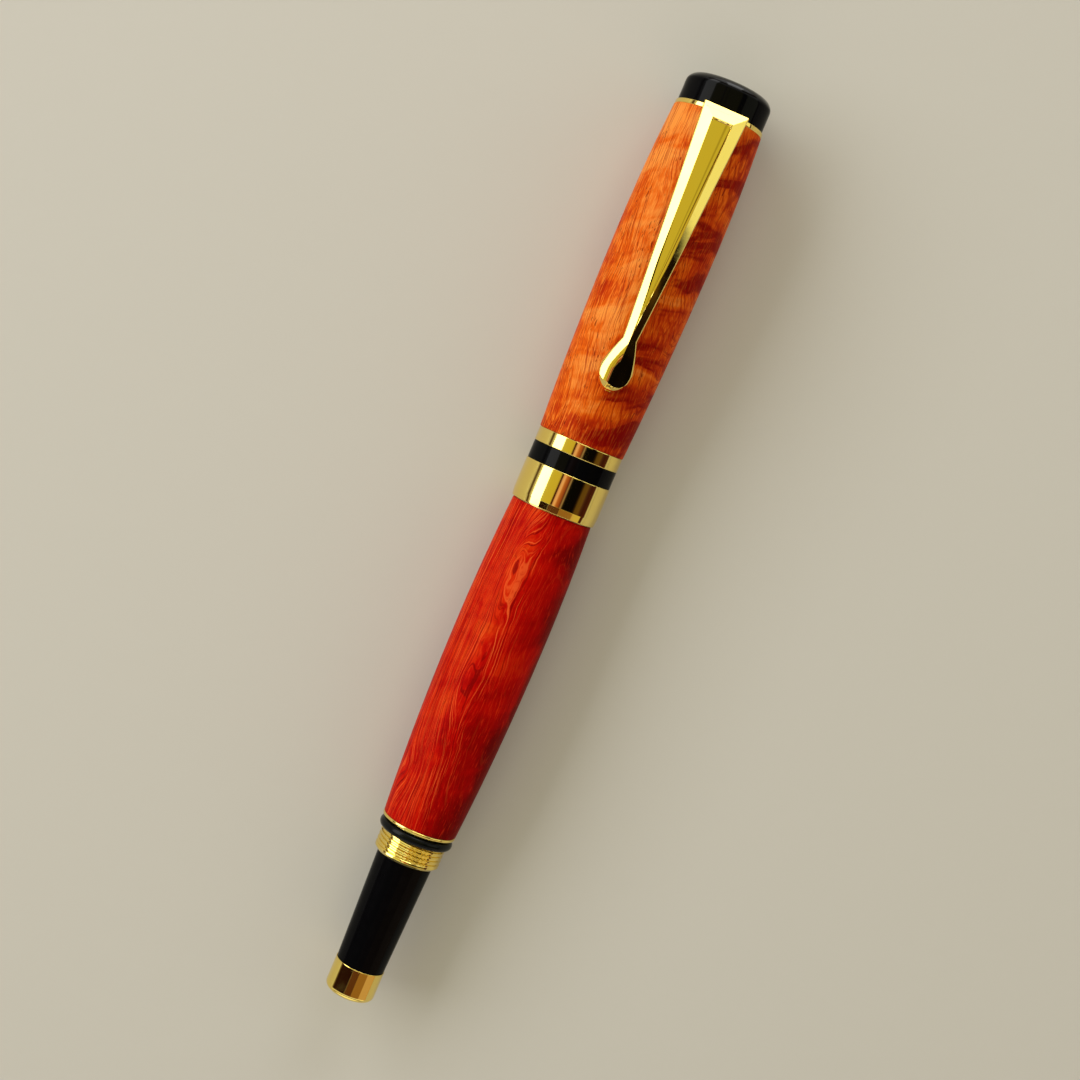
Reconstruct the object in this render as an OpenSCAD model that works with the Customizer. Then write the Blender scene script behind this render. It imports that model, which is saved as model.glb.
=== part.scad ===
// Screw-cap rollerball pen with turned wooden sleeves.
// It lies along X with its writing end capped, the finial at +X and the clip uppermost.
// A station is a distance in millimetres along the pen, counted from the tail end.

/* [Tail] */
// Diameter of the polished end cap
end_cap_d = 7.8; // [7.6:0.1:8.2]
// Visible length of the end cap
end_cap_len = 5.0; // [4:0.1:6.5]
// Rounding of the end cap's outer edge
end_cap_edge = 0.9; // [0.4:0.1:1.4]
// Thickness of metal behind the spring's seat
end_cap_floor = 1.6; // [1:0.1:2.5]
// Length of the end cap's stud inside the posting sleeve
end_cap_stud_len = 4.0; // [3:0.1:6]
// Diameter of the end cap's stud
end_cap_stud_d = 6.4; // [6.1:0.1:6.7]
// Length of the black posting sleeve
posting_len = 17.9; // [14:0.1:22]
// Diameter of the posting sleeve at the tail
posting_rear_d = 7.6; // [7.4:0.1:8]
// Diameter of the posting sleeve at the thread
posting_front_d = 8.8; // [8.2:0.1:9.2]
// Length of the posting sleeve's spigot inside the rear coupler
posting_spigot_len = 3.6; // [2:0.1:5]
// Diameter of the posting sleeve's spigot
posting_spigot_d = 7.7; // [7.4:0.1:7.8]

/* [Cap thread] */
// Outside diameter of the thread that takes the cap, the same at both ends of the barrel
cap_thread_d = 10.3; // [10:0.1:10.5]
// Length of the threaded stretch
cap_thread_len = 3.45; // [2.8:0.05:4.2]
// Distance from ridge to ridge
thread_pitch = 0.7; // [0.5:0.05:0.9]
// Height of the ridges
thread_depth = 0.26; // [0.15:0.01:0.3]
// Plain chamfered land before the first ridge
thread_land = 0.65; // [0.4:0.05:0.9]
// Chamfer where the thread starts
thread_lead = 0.4; // [0.2:0.05:0.6]

/* [Seal and trim ring] */
// Thickness of the rubber ring
oring_wire_d = 1.56; // [1.2:0.02:1.8]
// Diameter of the groove that the rubber ring sits in
oring_groove_d = 8.6; // [8.5:0.1:9]
// Width of the shoulder that holds the trim ring
shoulder_len = 0.2; // [0.15:0.05:0.4]
// Diameter of that shoulder
shoulder_d = 10.4; // [9.8:0.1:10.8]
// Thickness of the trim ring
trim_ring_len = 0.55; // [0.4:0.05:0.9]
// Diameter of the trim ring
trim_ring_d = 11.7; // [11.3:0.1:12.1]

/* [Barrel] */
// Diameter of the wood at the tail end
barrel_rear_d = 11.65; // [11.2:0.05:12.2]
// Diameter of the wood at its widest
barrel_belly_d = 13.75; // [13:0.05:14.6]
// Diameter of the wood at the centre band
barrel_front_d = 12.5; // [12:0.05:13]
// Distance of the widest place from the barrel's tail end
barrel_belly_at = 30.3; // [20:0.1:40]
// Outside diameter of the brass tube under the wood
barrel_tube_d = 9.9; // [9.8:0.05:10.2]
// Wall of both brass tubes
tube_wall = 0.45; // [0.4:0.01:0.48]
// Length of both couplers inside the barrel tube
coupler_len = 9.5; // [7:0.1:14]
// Thickness of the front coupler's flange
flange_len = 0.6; // [0.4:0.05:0.8]
// Diameter of the front coupler's flange
flange_d = 11.8; // [11.2:0.1:11.9]
// Space between the flange and the cap's mouth
flange_clear = 0.15; // [0.1:0.01:0.2]

/* [Section] */
// Length of the threaded collar on the writing section
collar_len = 4.5; // [4.2:0.1:5.5]
// Diameter of the section's rear stud
section_stud_d = 7.8; // [7.6:0.05:7.9]
// Length of the section's rear stud
section_stud_len = 7.5; // [5:0.1:9]
// Length of the grip between the collar and the nose cone
grip_len = 26.2; // [22:0.1:30]
// Share of the grip's length from the collar to its waist
grip_waist_share = 0.62; // [0.4:0.02:0.75]
// Diameter of the grip beside the collar
grip_rear_d = 9.2; // [8.9:0.1:9.4]
// Diameter of the grip at its waist
grip_waist_d = 8.1; // [7.9:0.1:8.6]
// Diameter of the grip beside the nose cone
grip_front_d = 8.5; // [8.2:0.1:8.8]
// Diameter of the grip's spigot inside the collar
grip_spigot_d = 8.6; // [8:0.1:8.8]
// Length of that spigot
grip_spigot_len = 3.1; // [2:0.1:3.8]
// Length of the nose cone
nose_len = 7.0; // [6:0.1:9]
// Diameter of the nose cone's open end
nose_tip_d = 3.5; // [3:0.1:4.2]
// Length of the nose cone's spigot inside the grip
nose_spigot_len = 4.0; // [2.5:0.1:6]
// Diameter of the nose cone's spigot
nose_spigot_d = 7.2; // [7:0.05:7.4]

/* [Refill] */
// Overall length of the refill
refill_len = 110.5; // [107:0.1:113]
// Diameter of the refill's body
refill_d = 6.2; // [5.8:0.05:6.3]
// Diameter of the refill's steel point
point_d = 2.3; // [2:0.05:2.5]
// How far the point stands out of the nose cone
point_out = 2.6; // [2:0.1:3.4]
// Length of the refill's tail plug
tail_plug_len = 3.5; // [2.5:0.1:5]
// Diameter of the tail plug's end
tail_plug_d = 4.8; // [4:0.1:5.2]
// Thickness of the plug's rim against the tube
plug_rim_len = 0.8; // [0.5:0.1:1.5]
// Wall of the refill's body
refill_wall = 0.4; // [0.25:0.05:0.6]
// Distance from the point's end back to the moulded front
refill_front_len = 17.5; // [16:0.1:20]
// Distance from the point's end back to the shoulder that seats in the nose cone
seat_back = 11.2; // [10:0.1:12]
// Length of the cone in front of that shoulder
seat_cone_len = 2.6; // [2:0.1:3.4]
// Length of the neck in front of the cone
neck_len = 2.8; // [2:0.1:3]
// Diameter of the neck
neck_d = 3.8; // [3.4:0.1:4.4]
// Length of the refill's steel point
point_len = 8.0; // [7:0.1:9]
// Length of the point's taper to the ball
taper_len = 1.8; // [1.2:0.1:2.4]
// Bore of the feed, where the wick lies
feed_bore_d = 1.0; // [0.8:0.1:1.2]
// Overlap of the refill's tube with its plug and with its front
tube_lap = 3.0; // [2:0.1:4]
// Length of the wick inside the filler
wick_lap = 5.0; // [3:0.1:7]
// Diameter of the writing ball
ball_d = 0.7; // [0.6:0.05:0.8]
// Space between the ball and its socket
ball_gap = 0.02; // [0.01:0.01:0.03]
// Wall of the socket's lip
socket_wall = 0.1; // [0.06:0.01:0.15]
// Height of the ball that shows beyond the lip
ball_out = 0.25; // [0.15:0.01:0.3]
// Length of the refill spring as fitted
spring_len = 8.9; // [7.5:0.1:11]
// Outside diameter of the spring
spring_d = 4.8; // [4:0.1:5]
// Thickness of the spring's wire
spring_wire_d = 0.5; // [0.35:0.05:0.6]
// Number of turns in the spring
spring_turns = 7; // [5:1:10]

/* [Centre band] */
// Length of the wide polished band
band_len = 6.1; // [5.5:0.1:8]
// Diameter of the wide band
band_d = 13.4; // [13.1:0.1:14]
// Length of the slope at the band's mouth
band_slope_len = 1.1; // [0.6:0.1:2]
// Fall in radius over that slope
band_slope_fall = 0.15; // [0.05:0.01:0.3]
// Length of the black ring
accent_len = 2.75; // [1.5:0.05:4]
// Diameter of the black ring
accent_d = 13.15; // [12.8:0.05:13.6]
// Length of the narrow polished band
upper_band_len = 2.2; // [1.2:0.1:3]
// Diameter of the narrow band
upper_band_d = 13.25; // [12.8:0.05:13.8]
// How far the band's spigot goes into the cap tube
band_spigot_len = 6.0; // [4:0.1:9]
// Gap between the closed cap and the barrel's wood
mouth_gap = 0.15; // [0.1:0.05:0.3]

/* [Cap] */
// Length of the wooden cap sleeve
cap_len = 50.9; // [48:0.1:56]
// Diameter of the wood at the centre band
cap_mouth_d = 13.3; // [13:0.05:13.8]
// Diameter of the wood at its widest
cap_belly_d = 15.05; // [14.4:0.05:15.8]
// Diameter of the wood at the clip's ring
cap_top_d = 13.75; // [13.2:0.05:14.2]
// Distance of the widest place from the cap's mouth end
cap_belly_at = 33; // [26:0.1:40]
// Outside diameter of the brass tube under the wood
cap_tube_d = 11.9; // [11.8:0.05:12.2]
// Wall of the plastic liner
liner_wall = 0.5; // [0.35:0.05:0.55]
// Space between the liner's closed end and the bushing
liner_gap = 3.2; // [2:0.1:5]
// Thickness of the liner's closed end
liner_floor = 1.0; // [0.6:0.1:1.6]
// Length of the threaded bushing in the top of the cap tube
bushing_len = 8.0; // [6:0.1:8.5]

/* [Clip] */
// Thickness of the clip's ring
clip_ring_len = 0.7; // [0.5:0.05:1.1]
// Diameter of the clip's ring
clip_ring_d = 13.75; // [13.2:0.05:14.1]
// Overall length of the clip
clip_len = 43.2; // [38:0.1:46]
// Width of the clip at the ring
clip_top_w = 6.85; // [5.5:0.05:7.5]
// Width of the clip at its neck
clip_neck_w = 2.1; // [1.6:0.1:3]
// Width of the drop at the clip's free end
clip_drop_w = 4.95; // [4:0.05:6]
// Distance of the drop's widest place from the free end
clip_drop_at = 3.0; // [2.4:0.1:3.6]
// Distance of the neck from the free end
clip_neck_at = 7.9; // [6.5:0.1:10]
// Thickness of the clip along the bar
clip_bar_t = 1.65; // [1.3:0.05:2]
// Thickness of the drop
clip_drop_t = 1.95; // [1.5:0.05:2.4]
// Thickness of the clip at the ring
clip_root_t = 2.3; // [2:0.05:2.8]
// Space for cloth between the bar and the wood
clip_gap = 0.95; // [0.6:0.05:1.4]
// Space between the drop and the wood
clip_pad_gap = 0.3; // [0.3:0.05:0.6]
// Curve of the drop's flanks towards the neck
clip_drop_curve = 1.35; // [1:0.05:2]
// Length over which the space under the bar opens and closes
clip_gap_run = 7.0; // [5:0.5:10]
// Tilt of the drop's two facets, in degrees
drop_tilt = 21; // [10:1:26]
// Tilt of the bevel round the drop's front, in degrees
drop_front_tilt = 50; // [40:1:60]
// Share of the drop's thickness above its outline
drop_foot_share = 0.6; // [0.5:0.05:0.7]
// Tilt of the rims beside the neck, in degrees
rim_neck_tilt = 21; // [10:1:25]
// Tilt of the rims and of the end slope at the ring, in degrees
rim_root_tilt = 28; // [20:1:32]
// Share of the width that the trough takes
trough_share = 0.47; // [0.4:0.01:0.55]
// Height of the small step at the trough's edges
trough_step = 0.12; // [0.05:0.01:0.2]
// Depth of the trough's hollow below that step
trough_bowl = 0.14; // [0.05:0.01:0.3]
// Length over which the trough deepens from the neck
trough_run = 12; // [8:1:20]
// Length of the trough's end wall
trough_wall = 0.35; // [0.2:0.05:0.6]
// Solid end between the trough and the clip's ring end
trough_end = 1.9; // [1.5:0.1:3]
// Slit between the springing arm and its root on the ring
clip_slit = 0.04; // [0.03:0.01:0.1]
// How far the root reaches down into the ring
root_sink = 1.2; // [0.8:0.1:2]

/* [Finial] */
// Diameter of the black finial
finial_d = 13.3; // [12.8:0.1:13.7]
// Height of the finial
finial_len = 4.55; // [4:0.05:6]
// Rounding of the finial's top edge
finial_edge = 1.5; // [0.8:0.1:2]
// Diameter of the threaded stud that holds the finial
stud_d = 5.0; // [4:0.1:6]
// Length of the stud inside the finial
stud_grip = 2.8; // [2:0.1:3.2]
// Length of the stud inside the cap's bushing
stud_reach = 6.0; // [4:0.1:7]

/* [Fits] */
// Radial gap of glued and pressed pieces
press_gap = 0.03; // [0.02:0.01:0.05]
// Radial gap of the wood over its brass tube
glue_gap = 0.05; // [0.03:0.01:0.08]
// Radial gap of threads, plain fits and faces that meet
fit_gap = 0.05; // [0.04:0.01:0.08]
// Radial space round the refill's body
refill_clear = 0.2; // [0.1:0.05:0.3]
// Radial space round the spring, the refill's neck and its point
guide_clear = 0.15; // [0.1:0.01:0.2]
// Broken edge of the rings and bands
edge_break = 0.12; // [0.05:0.01:0.2]
// Chamfer at the end of the studs
stud_lead = 0.3; // [0.2:0.05:0.5]

/* [Hidden] */
$fn = 72;

// Colours
wood_red = [0.72, 0.14, 0.04];
wood_orange = [0.80, 0.33, 0.09];
gold = [0.85, 0.68, 0.32];
brass = [0.75, 0.60, 0.28];
gloss_black = [0.03, 0.03, 0.035];
rubber_black = [0.06, 0.06, 0.07];
steel = [0.72, 0.73, 0.75];
clear_grey = [0.55, 0.57, 0.60];
ink_blue = [0.08, 0.10, 0.35];

// Stations along the pen; the refill sets where the section and the barrel end
posting_end = end_cap_len + posting_len;
rear_thread_end = posting_end + cap_thread_len;
shoulder_start = rear_thread_end + oring_wire_d;
trim_start = shoulder_start + shoulder_len;
barrel_start = trim_start + trim_ring_len;
spring_start = end_cap_floor;
refill_start = spring_start + spring_len;
point_end = refill_start + refill_len;
nose_end = point_end - point_out;
grip_end = nose_end - nose_len;
collar_end = grip_end - grip_len;
collar_start = collar_end - collar_len;
flange_end = collar_start - fit_gap;
barrel_end = flange_end - flange_len;
barrel_len = barrel_end - barrel_start;
band_start = barrel_end + mouth_gap;
band_end = band_start + band_len;
accent_end = band_end + accent_len;
cap_start = accent_end + upper_band_len;
cap_end = cap_start + cap_len;
ring_end = cap_end + clip_ring_len;
pen_len = ring_end + finial_len;

// Inside the refill
tube_start = refill_start + tail_plug_len;
front_start = point_end - refill_front_len;
step_start = point_end - seat_back;
neck_start = step_start + seat_cone_len;
neck_end = neck_start + neck_len;
point_start = point_end - point_len;
taper_start = point_end - taper_len;
socket_start = taper_start - ball_d / 2;
lip_end = point_end - ball_out;

// The liner ends short of the bushing
closed_end = cap_end - bushing_len - liner_gap;
closed_at = closed_end - liner_floor;

// Radii that several pieces share
refill_bore = refill_d / 2 + refill_clear;
tube_inner = refill_d / 2 - refill_wall;
spring_well = spring_d / 2 + guide_clear;
cap_bore = cap_tube_d / 2 - tube_wall;
barrel_bore = barrel_tube_d / 2 - tube_wall;
liner_r = cap_bore - press_gap;
liner_bore = liner_r - liner_wall;
thread_r = cap_thread_d / 2;
thread_bore = thread_r + fit_gap;

axis_h = max(cap_belly_d, barrel_belly_d, band_d) / 2;
curve_steps = 20;
edge_steps = 6;

// ---------- helpers ----------

// Turns a [radius, station] outline round the pen's axis and lays the pen down
module lay()
    translate([-pen_len / 2, 0, axis_h])
        rotate([0, 90, 0])
            rotate([0, 0, 180])
                children();

module turned(outline)
    lay()
        rotate_extrude()
            polygon(outline);

// A plain ring
module ring(outer_r, inner_r, from, to)
    turned([[inner_r, from], [outer_r, from], [outer_r, to], [inner_r, to]]);

// An outer outline and an inner one, both listed from the tail forwards, joined to one closed outline
function shell(outer, inner) =
    concat(outer, [for (i = [len(inner) - 1:-1:0]) inner[i]]);

// Wood outline: two parabolas that meet at the widest place
function belly_r(u, length, rear_d, belly_d, front_d, at) =
    belly_d / 2 - (u < at
        ? (belly_d - rear_d) / 2 * pow((at - u) / at, 2)
        : (belly_d - front_d) / 2 * pow((u - at) / (length - at), 2));

function belly_curve(from, length, rear_d, belly_d, front_d, at) =
    [for (i = [0:curve_steps])
        let (u = length * i / curve_steps)
        [belly_r(u, length, rear_d, belly_d, front_d, at), from + u]];

function cap_wood_r(station) =
    belly_r(max(0, min(cap_len, station - cap_start)), cap_len,
            cap_mouth_d, cap_belly_d, cap_top_d, cap_belly_at);

// Ridges of a thread from one station to the next; a negative depth makes a female thread.
// Each pitch is a slope down, a narrow root, a slope up and a narrow crest.
function ridges(crest_r, depth, from, to) =
    let (slope = 0.35, root = 0.2)
    [for (i = [0:max(1, floor((to - from) / thread_pitch)) - 1])
        let (s = from + i * thread_pitch)
        each [[crest_r, s], [crest_r - depth, s + thread_pitch * slope],
              [crest_r - depth, s + thread_pitch * (slope + root)],
              [crest_r, s + thread_pitch * (2 * slope + root)]]];

// Quarter-round edge from the side of a disc onto its end face
function round_edge(r, edge, end, way) =
    [for (i = [0:edge_steps])
        let (a = 90 * i / edge_steps)
        [r - edge + edge * cos(a), end - way * edge + way * edge * sin(a)]];

// An S-curve from 0 to 1
function smooth(x) = let (c = max(0, min(1, x))) c * c * (3 - 2 * c);

// A straight rise from 0 to 1 with softened ends
function smooth_ends(x) = let (c = max(0, min(1, x))) 0.9 * c + 0.1 * smooth(c);

// A solid skinned over rings of points, all rings with the same number of points
module skin(rings) {
    n = len(rings[0]);
    m = len(rings);
    polyhedron(
        points = [for (r = rings) each r],
        faces = concat(
            [[for (j = [0:n - 1]) j]],
            [for (i = [0:m - 2], j = [0:n - 1])
                let (k = (j + 1) % n)
                each [[i * n + j, (i + 1) * n + j, (i + 1) * n + k],
                      [i * n + j, (i + 1) * n + k, i * n + k]]],
            [[for (j = [n - 1:-1:0]) (m - 1) * n + j]]),
        convexity = 10);
}

// ---------- tail ----------

// Polished end cap, hollow for the spring, with a stud that screws into the posting sleeve
module end_cap()
    color(gold)
        turned(shell(
            concat([[0, 0]],
                   [for (i = [edge_steps:-1:0]) round_edge(end_cap_d / 2, end_cap_edge, 0, -1)[i]],
                   [[end_cap_d / 2, end_cap_len - fit_gap],
                    [end_cap_stud_d / 2, end_cap_len - fit_gap],
                    [end_cap_stud_d / 2, end_cap_len + end_cap_stud_len]]),
            [[0, end_cap_floor], [spring_well, end_cap_floor],
             [spring_well, end_cap_len + end_cap_stud_len]]));

// Black sleeve over which the cap is posted, tapering towards the tail
module posting_sleeve()
    color(gloss_black)
        turned(shell(
            [[posting_rear_d / 2, end_cap_len], [posting_front_d / 2, posting_end],
             [posting_spigot_d / 2, posting_end],
             [posting_spigot_d / 2, posting_end + posting_spigot_len]],
            [[end_cap_stud_d / 2 + fit_gap, end_cap_len],
             [end_cap_stud_d / 2 + fit_gap, end_cap_len + end_cap_stud_len + fit_gap],
             [refill_bore, end_cap_len + end_cap_stud_len + fit_gap],
             [refill_bore, posting_end + posting_spigot_len]]));

// Threaded coupler pressed into the barrel tube; it holds the sleeve, the rubber ring and the trim ring
module rear_coupler()
    color(gold)
        turned(shell(
            concat(
                [[thread_r - thread_lead, posting_end + fit_gap],
                 [thread_r, posting_end + thread_lead],
                 [thread_r, posting_end + thread_land]],
                ridges(thread_r, thread_depth, posting_end + thread_land, rear_thread_end),
                [[thread_r, rear_thread_end], [oring_groove_d / 2, rear_thread_end],
                 [oring_groove_d / 2, shoulder_start], [shoulder_d / 2, shoulder_start],
                 [shoulder_d / 2, trim_start], [barrel_bore - press_gap, trim_start],
                 [barrel_bore - press_gap, barrel_start + coupler_len]]),
            [[posting_spigot_d / 2 + fit_gap, posting_end + fit_gap],
             [posting_spigot_d / 2 + fit_gap, posting_end + posting_spigot_len + fit_gap],
             [refill_bore, posting_end + posting_spigot_len + fit_gap],
             [refill_bore, barrel_start + coupler_len]]));

// Rubber ring that cushions the posted cap
module rear_o_ring()
    color(rubber_black)
        lay()
            rotate_extrude()
                translate([oring_groove_d / 2 + oring_wire_d / 2, rear_thread_end + oring_wire_d / 2])
                    circle(r = oring_wire_d / 2 - press_gap / 2);

module rear_trim_ring()
    color(gold)
        ring(trim_ring_d / 2, barrel_bore, trim_start, barrel_start);

// ---------- barrel ----------

// Turned wooden sleeve, widest beyond its middle
module barrel_wood()
    color(wood_red)
        turned(shell(
            belly_curve(barrel_start, barrel_len, barrel_rear_d, barrel_belly_d,
                        barrel_front_d, barrel_belly_at),
            [[barrel_tube_d / 2 + glue_gap, barrel_start],
             [barrel_tube_d / 2 + glue_gap, barrel_end]]));

module barrel_tube()
    color(brass)
        ring(barrel_tube_d / 2, barrel_bore, barrel_start, barrel_end);

// Flanged coupler pressed into the front of the barrel tube; the section's stud screws into it
module front_coupler()
    color(brass)
        turned(shell(
            [[barrel_bore - press_gap, barrel_end - coupler_len],
             [barrel_bore - press_gap, barrel_end], [flange_d / 2, barrel_end],
             [flange_d / 2, flange_end]],
            [[section_stud_d / 2 + fit_gap, barrel_end - coupler_len],
             [section_stud_d / 2 + fit_gap, flange_end]]));

// ---------- writing section ----------

// Collar with the thread that takes the cap, and a stud for the barrel
module thread_collar()
    color(gold)
        turned(shell(
            concat(
                [[section_stud_d / 2 - stud_lead, collar_start - section_stud_len],
                 [section_stud_d / 2, collar_start - section_stud_len + stud_lead],
                 [section_stud_d / 2, collar_start], [thread_r, collar_start]],
                ridges(thread_r, thread_depth, collar_start + stud_lead, collar_end - thread_land),
                [[thread_r, collar_end - thread_lead], [thread_r - thread_lead, collar_end]]),
            [[refill_bore, collar_start - section_stud_len],
             [refill_bore, collar_end - grip_spigot_len - fit_gap],
             [grip_spigot_d / 2 + press_gap, collar_end - grip_spigot_len - fit_gap],
             [grip_spigot_d / 2 + press_gap, collar_end]]));

// Waisted black grip
module grip() {
    length = grip_len - fit_gap;
    waist_at = length * grip_waist_share;
    outer = [for (i = [0:curve_steps])
        let (u = length * i / curve_steps,
             d = u < waist_at
                ? grip_waist_d + (grip_rear_d - grip_waist_d) * pow(1 - u / waist_at, 1.6)
                : grip_waist_d + (grip_front_d - grip_waist_d)
                    * pow((u - waist_at) / (length - waist_at), 2))
        [d / 2, collar_end + fit_gap + u]];
    color(gloss_black)
        turned(shell(
            concat(
                [[grip_spigot_d / 2, collar_end - grip_spigot_len],
                 [grip_spigot_d / 2, collar_end + fit_gap]],
                outer),
            [[refill_bore, collar_end - grip_spigot_len],
             [refill_bore, grip_end - nose_spigot_len - fit_gap],
             [nose_spigot_d / 2 + press_gap, grip_end - nose_spigot_len - fit_gap],
             [nose_spigot_d / 2 + press_gap, grip_end]]));
}

// Polished nose cone; the refill's neck seats on its inner step
module nose_cone() {
    cone = [for (i = [0:10])
        let (u = i / 10)
        [grip_front_d / 2 - (grip_front_d - nose_tip_d) / 2 * pow(u, 1.25),
         grip_end + fit_gap + (nose_len - fit_gap) * u]];
    color(gold)
        turned(shell(
            concat(
                [[nose_spigot_d / 2, grip_end - nose_spigot_len],
                 [nose_spigot_d / 2, grip_end + fit_gap]],
                cone),
            [[refill_bore, grip_end - nose_spigot_len],
             [refill_bore, step_start + refill_clear],
             [neck_d / 2 + guide_clear, neck_start + refill_clear],
             [neck_d / 2 + guide_clear, neck_end + fit_gap],
             [point_d / 2 + guide_clear, neck_end + fit_gap],
             [point_d / 2 + guide_clear, nose_end]]));
}

// ---------- refill ----------

// Climb of the spring's wire from end to end: level over the end turns, then a steady rise
function spring_climb(share) =
    let (level_share = 0.8 / spring_turns)
    smooth_ends((share - level_share) / (1 - 2 * level_share));

// Compression spring behind the refill, with flat end turns
module refill_spring() {
    wire_r = spring_wire_d / 2;
    coil_r = spring_d / 2 - wire_r;
    steps = spring_turns * 14;
    sides = 8;
    low = spring_start + wire_r + fit_gap;
    rise = spring_len - spring_wire_d - 2 * fit_gap;
    color(steel)
        lay()
            skin([for (i = [0:steps])
                let (a = 360 * spring_turns * i / steps,
                     s = low + rise * spring_climb(i / steps))
                [for (j = [0:sides - 1])
                    let (b = 360 * j / sides, r = coil_r + wire_r * cos(b))
                    [r * cos(a), r * sin(a), s - wire_r * sin(b)]]]);
}

module refill_tail_plug()
    color(gloss_black)
        turned([[0, refill_start], [tail_plug_d / 2, refill_start],
                [tail_plug_d / 2, tube_start - plug_rim_len], [refill_d / 2, tube_start - plug_rim_len],
                [refill_d / 2, tube_start], [tube_inner - press_gap, tube_start],
                [tube_inner - press_gap, tube_start + tube_lap], [0, tube_start + tube_lap]]);

module refill_tube()
    color(clear_grey)
        ring(refill_d / 2, tube_inner, tube_start + fit_gap, front_start);

// Fibre filler that holds the ink
module ink_filler()
    color(ink_blue)
        ring(tube_inner - fit_gap, feed_bore_d / 2 + fit_gap,
             tube_start + tube_lap + fit_gap, front_start - tube_lap);

// Moulded front of the refill, with the shoulder and neck that seat in the nose cone
module refill_front()
    color(gloss_black)
        turned(shell(
            [[tube_inner - press_gap, front_start - tube_lap + fit_gap],
             [tube_inner - press_gap, front_start + fit_gap],
             [refill_d / 2, front_start + fit_gap], [refill_d / 2, step_start],
             [neck_d / 2, neck_start], [neck_d / 2, neck_end]],
            [[feed_bore_d / 2, front_start - tube_lap + fit_gap],
             [feed_bore_d / 2, point_start - fit_gap],
             [point_d / 2 + press_gap, point_start - fit_gap],
             [point_d / 2 + press_gap, neck_end]]));

// Thin wick that carries ink from the filler to the ball
module feed_wick() {
    wick_r = feed_bore_d / 2 - fit_gap;
    wick_start = front_start - tube_lap - wick_lap;
    color(ink_blue)
        turned([[0, wick_start], [wick_r, wick_start],
                [wick_r, socket_start - fit_gap], [0, socket_start - fit_gap]]);
}

// Steel point, turned down to the socket that holds the ball
module refill_point()
    color(steel)
        turned(shell(
            [[point_d / 2, point_start], [point_d / 2, taper_start],
             [ball_d / 2 + socket_wall, lip_end]],
            [[feed_bore_d / 2, point_start], [feed_bore_d / 2, socket_start],
             [ball_d / 2 + ball_gap, taper_start], [ball_d / 2 + ball_gap, lip_end]]));

module writing_ball()
    color(steel)
        lay()
            translate([0, 0, point_end - ball_d / 2])
                sphere(r = ball_d / 2);

// ---------- cap ----------

// Plastic liner, closed beyond the writing point to keep it from drying
module cap_liner() {
    liner_start = cap_start + band_spigot_len + fit_gap;
    color(clear_grey)
        turned([[liner_bore, liner_start], [liner_r, liner_start],
                [liner_r, closed_end], [0, closed_end],
                [0, closed_at], [liner_bore, closed_at]]);
}

// Wide band with the cap's inner thread, and a spigot that carries the other rings into the tube
module center_band() {
    thread_end = collar_end + stud_lead;
    mouth_end = flange_end + flange_clear;
    color(gold)
        turned(shell(
            [[band_d / 2 - band_slope_fall, band_start], [band_d / 2, band_start + band_slope_len],
             [band_d / 2, band_end - edge_break], [band_d / 2 - edge_break, band_end],
             [cap_bore - press_gap, band_end], [cap_bore - press_gap, cap_start + band_spigot_len]],
            concat(
                [[flange_d / 2 + flange_clear, band_start], [flange_d / 2 + flange_clear, mouth_end]],
                ridges(thread_bore, -thread_depth, mouth_end, thread_end - edge_break),
                [[thread_bore, thread_end], [liner_bore, thread_end],
                 [liner_bore, cap_start + band_spigot_len]])));
}

module accent_ring()
    color(gloss_black)
        ring(accent_d / 2, cap_bore, band_end, accent_end);

module upper_band()
    color(gold)
        turned([[cap_bore, accent_end], [upper_band_d / 2 - edge_break, accent_end],
                [upper_band_d / 2, accent_end + edge_break], [upper_band_d / 2, cap_start - edge_break],
                [upper_band_d / 2 - edge_break, cap_start], [cap_bore, cap_start]]);

// Turned wooden sleeve of the cap
module cap_wood()
    color(wood_orange)
        turned(shell(
            belly_curve(cap_start, cap_len, cap_mouth_d, cap_belly_d, cap_top_d, cap_belly_at),
            [[cap_tube_d / 2 + glue_gap, cap_start], [cap_tube_d / 2 + glue_gap, cap_end]]));

module cap_tube()
    color(brass)
        ring(cap_tube_d / 2, cap_bore, cap_start, cap_end);

// Bushing pressed into the top of the cap tube; the finial's stud screws into it
module cap_bushing()
    color(brass)
        ring(cap_bore - press_gap, stud_d / 2 + fit_gap, cap_end - bushing_len, cap_end);

module finial_stud()
    color(brass)
        turned(concat(
            [[0, cap_end - stud_reach], [stud_d / 2 - stud_lead, cap_end - stud_reach],
             [stud_d / 2, cap_end - stud_reach + stud_lead]],
            ridges(stud_d / 2, thread_depth, cap_end - stud_reach + 2 * stud_lead,
                   ring_end + stud_grip - stud_lead),
            [[stud_d / 2, ring_end + stud_grip], [0, ring_end + stud_grip]]));

module finial()
    color(gloss_black)
        turned(shell(
            concat(
                [[finial_d / 2 - edge_break, ring_end], [finial_d / 2, ring_end + edge_break]],
                round_edge(finial_d / 2, finial_edge, pen_len, 1),
                [[0, pen_len]]),
            [[stud_d / 2 + fit_gap, ring_end],
             [stud_d / 2 + fit_gap, ring_end + stud_grip + fit_gap],
             [0, ring_end + stud_grip + fit_gap]]));

// ---------- clip ----------

clip_start = ring_end - clip_len;
arm_len = clip_len - clip_ring_len - clip_slit;
trough_stop = clip_len - trough_end;
clip_rise = clip_gap - clip_pad_gap;
// Share of the half width at which each rim has a row of points
rim_mark = 0.63;

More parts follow.
